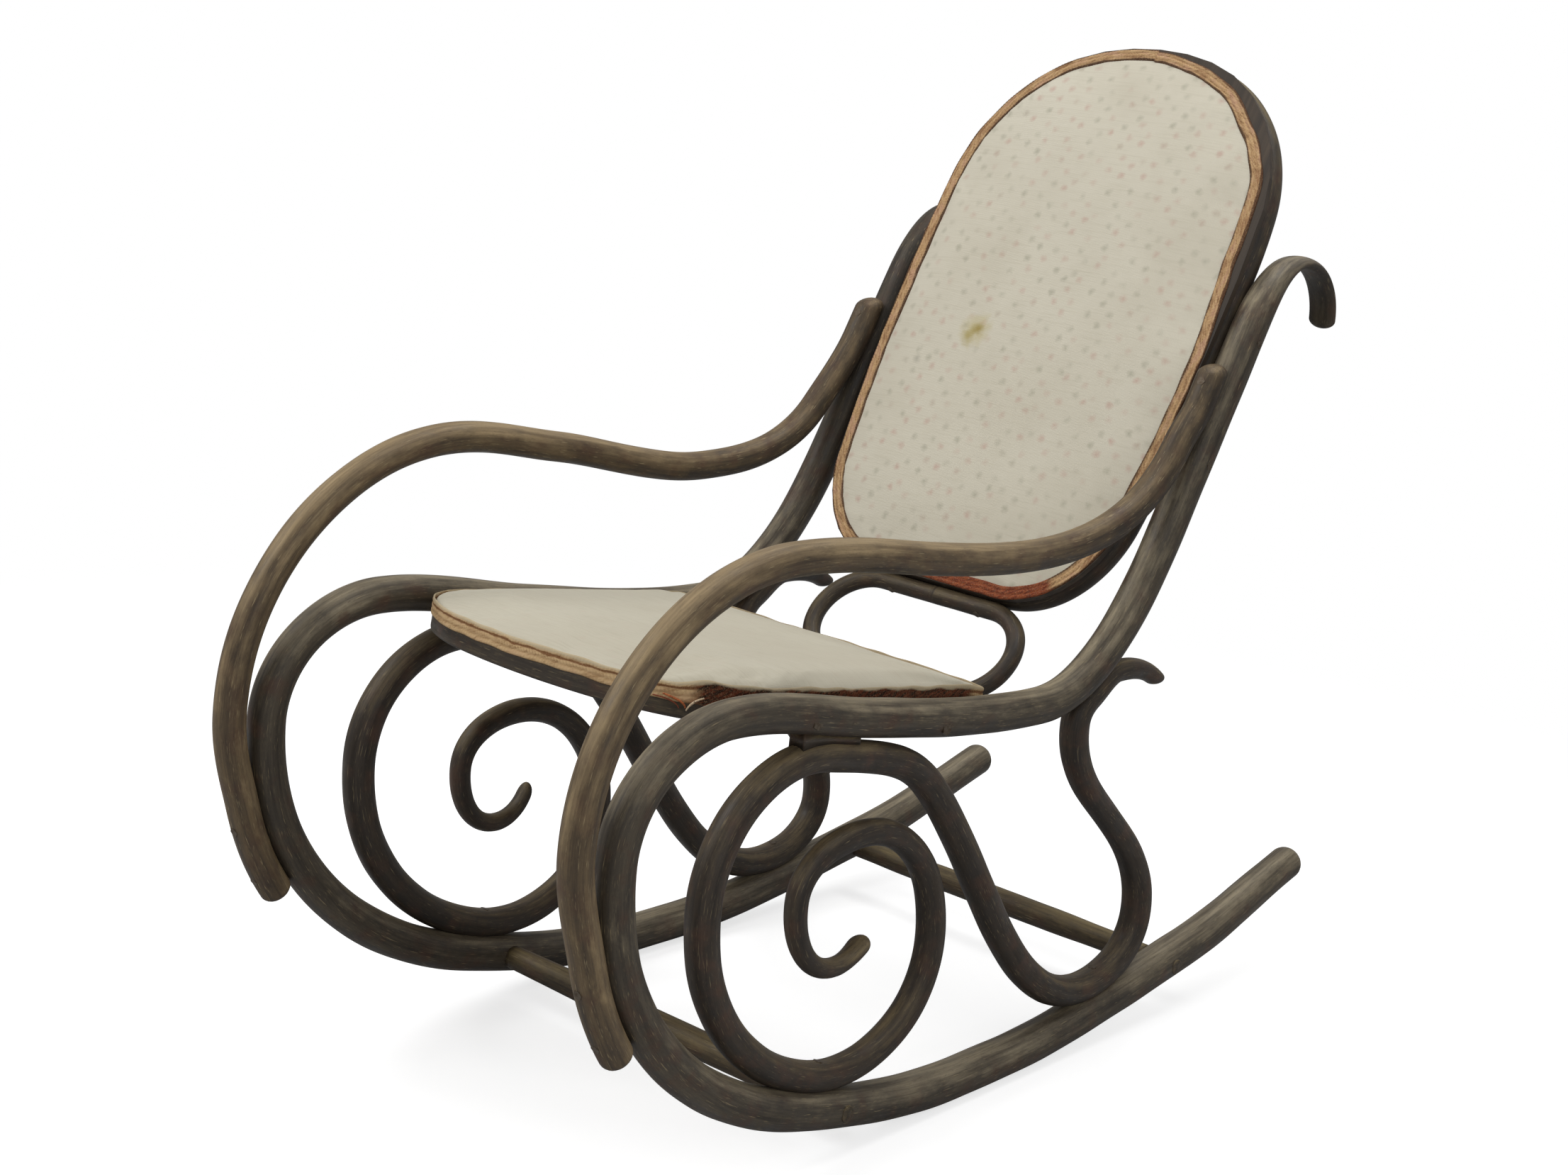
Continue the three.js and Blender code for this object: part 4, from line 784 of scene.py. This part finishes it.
def braid_skin(plane, line, width, thick, seed, frame_of, drawn=None, lifted=None):
    """A flat braid along a closed line. Its front rises as three ridges across the width, each crossed by
    slanting strands: a sine of the way along plus the way across. Five slow sines of 0.5 mm and less let
    it wander. frame_of turns the way across and the height into an inset and a height, so that it lies
    flat or stands on edge."""
    origin, axes = plane
    full_turn, step, lanes, strand, lean = 6.283, 1.2, 20, 3.4, 2.2
    way = np.arange(0, line[-1, 5] - step / 2, step)[:, None]
    t = np.linspace(0, 1, lanes)[None, :]
    dice = np.random.default_rng(seed)
    waves = zip((3, 7, 13, 29, 41), (0.5, 0.35, 0.3, 0.25, 0.2), dice.uniform(0, 6, 5))
    drift = sum(size * np.sin(full_turn * way / line[-1, 5] * n + p) for n, size, p in waves)
    ridges = np.abs(np.sin(np.pi * 3 * t)) ** 0.6
    slant = np.where((t > 1 / 3) & (t < 2 / 3), -1.0, 1.0)
    strands = 0.5 + 0.5 * np.sin(full_turn * (way / strand + slant * t * lean))
    high = thick * (0.25 + ridges * (0.35 + 0.4 * strands))
    high[:, 0] = high[:, -1] = 0.05 * thick
    across = t * width + drift
    across, high = np.hstack([across, across[:, ::-1]]), np.hstack([high, np.zeros_like(high)])
    inset, rise = frame_of(across + (drawn(way) if drawn else 0), high)
    points = set_in(line, way, inset, rise)
    if lifted:
        points[..., 2] += lifted(points[..., 0], points[..., 1]) * across / width
    pattern = np.stack([across, high, way + 0 * high], -1)
    faces = ring_quads(*high.shape, closed=True)
    return origin + points.reshape(-1, 3) @ axes, faces, pattern.reshape(-1, 3)


ring_foot_at = ring_line[-1, 5] / 2
# The dark lines at the back braid's outer and inner edges are partly dark dye, partly painted shade of the
# gap beside the ring and of the cotton's edge.
back_wool = worn_braid("worn_gimp_braid_back", ("#75543a", "#b9976d", "#8f6a4b", "#b48c74", "#6f4e34"),
                       [("#46291b", 0.3, 2.0), ("#38221a", BACK_BRAID_WIDE - 0.2, 3.2)],
                       wear_and_painted_light=("#8c4a2d", "#642e20"), wear_and_shade_from=ring_foot_at - 135, wear_and_shade_to=ring_foot_at + 12,
                       frayed=2 * BACK_BRAID_WIDE)
back_braid = braid_skin(ring_plane, ring_line, BACK_BRAID_WIDE, BACK_BRAID_THICK, 71,
                        lambda across, high: (back_braid_edge + across, cover_from + high), drawn=slip)
make_piece("back_braid_gimp", *back_braid, back_wool, "braid", "back_braid")
TORN_AT, SEAT_BRAID_HIGH, SEAT_BRAID_RISE = -260.0, 15.0, 7.2
side_from, side_to = place_on(hoop_line, 2, 1, 80.0)[5], place_on(hoop_line, 3, 1, TORN_AT + 6)[5]
# On the seat's near side the braid turns dark rust with near black strands: partly rust, partly painted
# shade of the gap under the cotton's raised edge.
seat_wool = worn_braid("worn_gimp_braid_seat", ("#8c6d49", "#c9ab80", "#a58560", "#bf9e7a", "#8a6a47"),
                       [("#6e4628", 10.6, 1.4)], wear_and_painted_light=("#63331f", "#2a170e"), wear_and_shade_from=side_from,
                       wear_and_shade_to=side_to, frayed=12.2)
seat_braid = braid_skin(seat_plane, hoop_line, SEAT_BRAID_HIGH, SEAT_BRAID_THICK, 72,
                        lambda across, high: (-GAP - high, SEAT_BRAID_RISE + across),
                        lifted=shifted_stuffing)
make_piece("seat_braid_gimp", *seat_braid, seat_wool, "braid", "seat_braid")

# Torn strands. At the near front corner of the seat the braid has torn, and three of its woollen
# strands have come loose and stick out of it, one of them folded back.
TORN_OUT, TORN_UP = 3.4, 2.0
torn = place_on(hoop_line, 3, 1, TORN_AT)
forth = np.array([np.cos(torn[2]), np.sin(torn[2]), 0])
out = np.array([-forth[1], forth[0], 0])
seat_origin, seat_axes = seat_plane
torn_place = seat_origin + (np.array([*torn[:2], SEAT_BRAID_RISE + TORN_UP]) + TORN_OUT * out) @ seat_axes
torn_plane = (torn_place, np.stack([forth, [0, 0, 1], out]) @ seat_axes)
strands = {
    "torn_strand_long": ("#a85c30", [knot(19, 3.0, 188, 2.6, 1.4), knot(5, -0.5, 200, 3.8, 1.8),
                                     knot(-1, -6, 262, 2.4, 1.3)]),
    "torn_strand_folded": ("#cbb596", [knot(-15, 5, -24, 1.8, 1.2), knot(-6, -1, -50, 3.8, 1.9),
                                       knot(-2, -8, -84, 2.4, 1.2)]),
    "torn_strand_loose": ("#7c3a20", [knot(27, 0.5, 182, 1.6, 1.0), knot(12, -1.5, 196, 2.2, 1.3),
                                      knot(4, -7, 250, 1.4, 0.9)]),
}


def torn_wool(name, code):
    """Torn wool: its dye, with darker fibres of 0.9 mm between."""
    material, tree, shader = new_material(name, {"Roughness": 0.95})
    twist = add(tree, "ShaderNodeAttribute", attribute_name="pattern").outputs["Vector"]
    fibres = add(tree, "ShaderNodeTexNoise", {"Vector": twist, "Scale": 1 / (0.9 * MM), "Detail": 3.0})
    dyed = coated(tree, "#4a2c1c", [(fibres.outputs["Fac"], 0.3, 0.5, 1.0, code)])
    tree.links.new(dyed, shader.inputs["Base Color"])
    return material


for name, (code, knots) in strands.items():
    strand = rod_skin(torn_plane, line_through(knots), 90, around=10, step=1.0, tips=(1.0, 1.0))
    make_piece(name, *strand, torn_wool(f"{name}_wool", code), "braid")

# Screws and bolts. Steel screws tie the arms, scrolls and ring to the rails and the loop to the ring,
# and two bolts on each side hold the seat hoop. Their countersunk heads lie flush, stained over.
def stained_steel(name):
    """Old steel under stain: dark brown-grey, half dull, with rust spots of 3 mm."""
    material, tree, shader = new_material(name, {"Metallic": 0.6, "Roughness": 0.55})
    spot = add(tree, "ShaderNodeTexCoord").outputs["Object"]
    rust = add(tree, "ShaderNodeTexNoise", {"Vector": spot, "Scale": 1 / (3 * MM), "Detail": 4.0})
    steel = coated(tree, "#5a5043", [(rust.outputs["Fac"], 0.4, 0.65, 1.0, "#453626")])
    tree.links.new(steel, shader.inputs["Base Color"])
    return material


screw_steel = stained_steel("stained_steel")
for node_name, node in frame["nodes"].items():
    if "screw" in node_name or "bolt" in node_name:
        node.data.materials.clear()
        node.data.materials.append(screw_steel)

# Floor and light. A pale floor fades into a white room, with broad soft lamps from above and from
# both sides. The floor's glow and the room's full white are for the camera alone.
FLOOR_HALF, FADE_FROM, FADE_TO = 30.0, 0.9, 1.9
FLOOR_GLOW, ROOM_LIGHT = 0.68, 0.44
floor_mesh = bpy.data.meshes.new("floor")
floor_corners = [(x * FLOOR_HALF, y * FLOOR_HALF, 0) for x, y in ((-1, -1), (1, -1), (1, 1), (-1, 1))]
floor_mesh.from_pydata(floor_corners, [], [(0, 1, 2, 3)])
floor = in_scene("floor", floor_mesh)
white, tree, shader = new_material("white_sweep", {
    "Base Color": colour("#c8c8c8"), "Roughness": 0.9, "Specular IOR Level": 0.1,
    "Emission Color": (1, 1, 1, 1)})
seen = add(tree, "ShaderNodeLightPath").outputs["Is Camera Ray"]
lift = add(tree, "ShaderNodeMath", {0: seen, 1: FLOOR_GLOW}, operation="MULTIPLY")
tree.links.new(lift.outputs[0], shader.inputs["Emission Strength"])
spot = add(tree, "ShaderNodeTexCoord").outputs["Object"]
away = add(tree, "ShaderNodeVectorMath", {0: spot}, operation="LENGTH").outputs["Value"]
faded = add(tree, "ShaderNodeMapRange", {"Value": away, "From Min": FADE_FROM, "From Max": FADE_TO},
            interpolation_type="SMOOTHSTEP")
far_white = add(tree, "ShaderNodeMath", {0: faded.outputs[0], 1: seen}, operation="MULTIPLY")
glow = add(tree, "ShaderNodeEmission", {"Color": (1, 1, 1, 1), "Strength": 1.0})
both = add(tree, "ShaderNodeMixShader", {0: far_white.outputs[0], 1: shader.outputs[0], 2: glow.outputs[0]})
tree.links.new(both.outputs[0], tree.nodes["Material Output"].inputs["Surface"])
floor_mesh.materials.append(white)

world = bpy.data.worlds.new("studio")
bpy.context.scene.world = world
world.use_nodes = True
sky = world.node_tree.nodes["Background"]
seen = add(world.node_tree, "ShaderNodeLightPath").outputs["Is Camera Ray"]
strength = add(world.node_tree, "ShaderNodeMapRange", {"Value": seen, "To Min": ROOM_LIGHT, "To Max": 1.0})
sky.inputs["Color"].default_value = (1, 1, 1, 1)
world.node_tree.links.new(strength.outputs[0], sky.inputs["Strength"])


def softbox(name, place, target, size, power):
    """A square lamp at a place, turned to its target, with its side in metres and its power in watts."""
    lamp = bpy.data.lights.new(name, "AREA")
    lamp.size, lamp.energy = size, power
    holder = in_scene(name, lamp)
    holder.location = place
    holder.rotation_euler = (Vector(target) - Vector(place)).to_track_quat("-Z", "Y").to_euler()


softbox("key", (-1.6, -2.2, 2.8), (0, 0, 0.5), 1.6, 54)
softbox("fill", (2.6, -1.4, 1.8), (0, 0, 0.5), 2.2, 16)
softbox("top", (0.2, 0.8, 3.2), (0, 0, 0.4), 1.8, 36)

# Camera. It stands where the photograph was taken from: 40 degrees round to the sitter's left,
# looking down by 13 degrees and rolled by 6, with a lens of 55 mm on a film 36 mm wide.
azimuth, height, roll = np.radians([39.70, 13.006, 6.10])
PHOTO_WIDE, FOCAL_PIXELS, FILM_WIDE = 2212, 3397.3, 36.0
CAMERA_PLACE = np.array([1402.37, -1788.333, 958.99]) * MM
away = np.array([np.sin(azimuth) * np.cos(height), -np.cos(azimuth) * np.cos(height), np.sin(height)])
right = np.cross(-away, [0, 0, 1])
right /= np.linalg.norm(right)
up = np.cross(right, -away)
right_rolled = np.cos(roll) * right + np.sin(roll) * up
up_rolled = np.cos(roll) * up - np.sin(roll) * right
lens = bpy.data.cameras.new("camera")
lens.sensor_fit, lens.sensor_width = "HORIZONTAL", FILM_WIDE
lens.lens = FILM_WIDE * FOCAL_PIXELS / PHOTO_WIDE
camera = in_scene("camera", lens)
turned = np.column_stack([right_rolled, up_rolled, away, CAMERA_PLACE])
camera.matrix_world = Matrix([*turned.tolist(), [0, 0, 0, 1]])
bpy.context.scene.camera = camera
bpy.context.scene.view_settings.view_transform = "Standard"

bpy.context.view_layer.update()
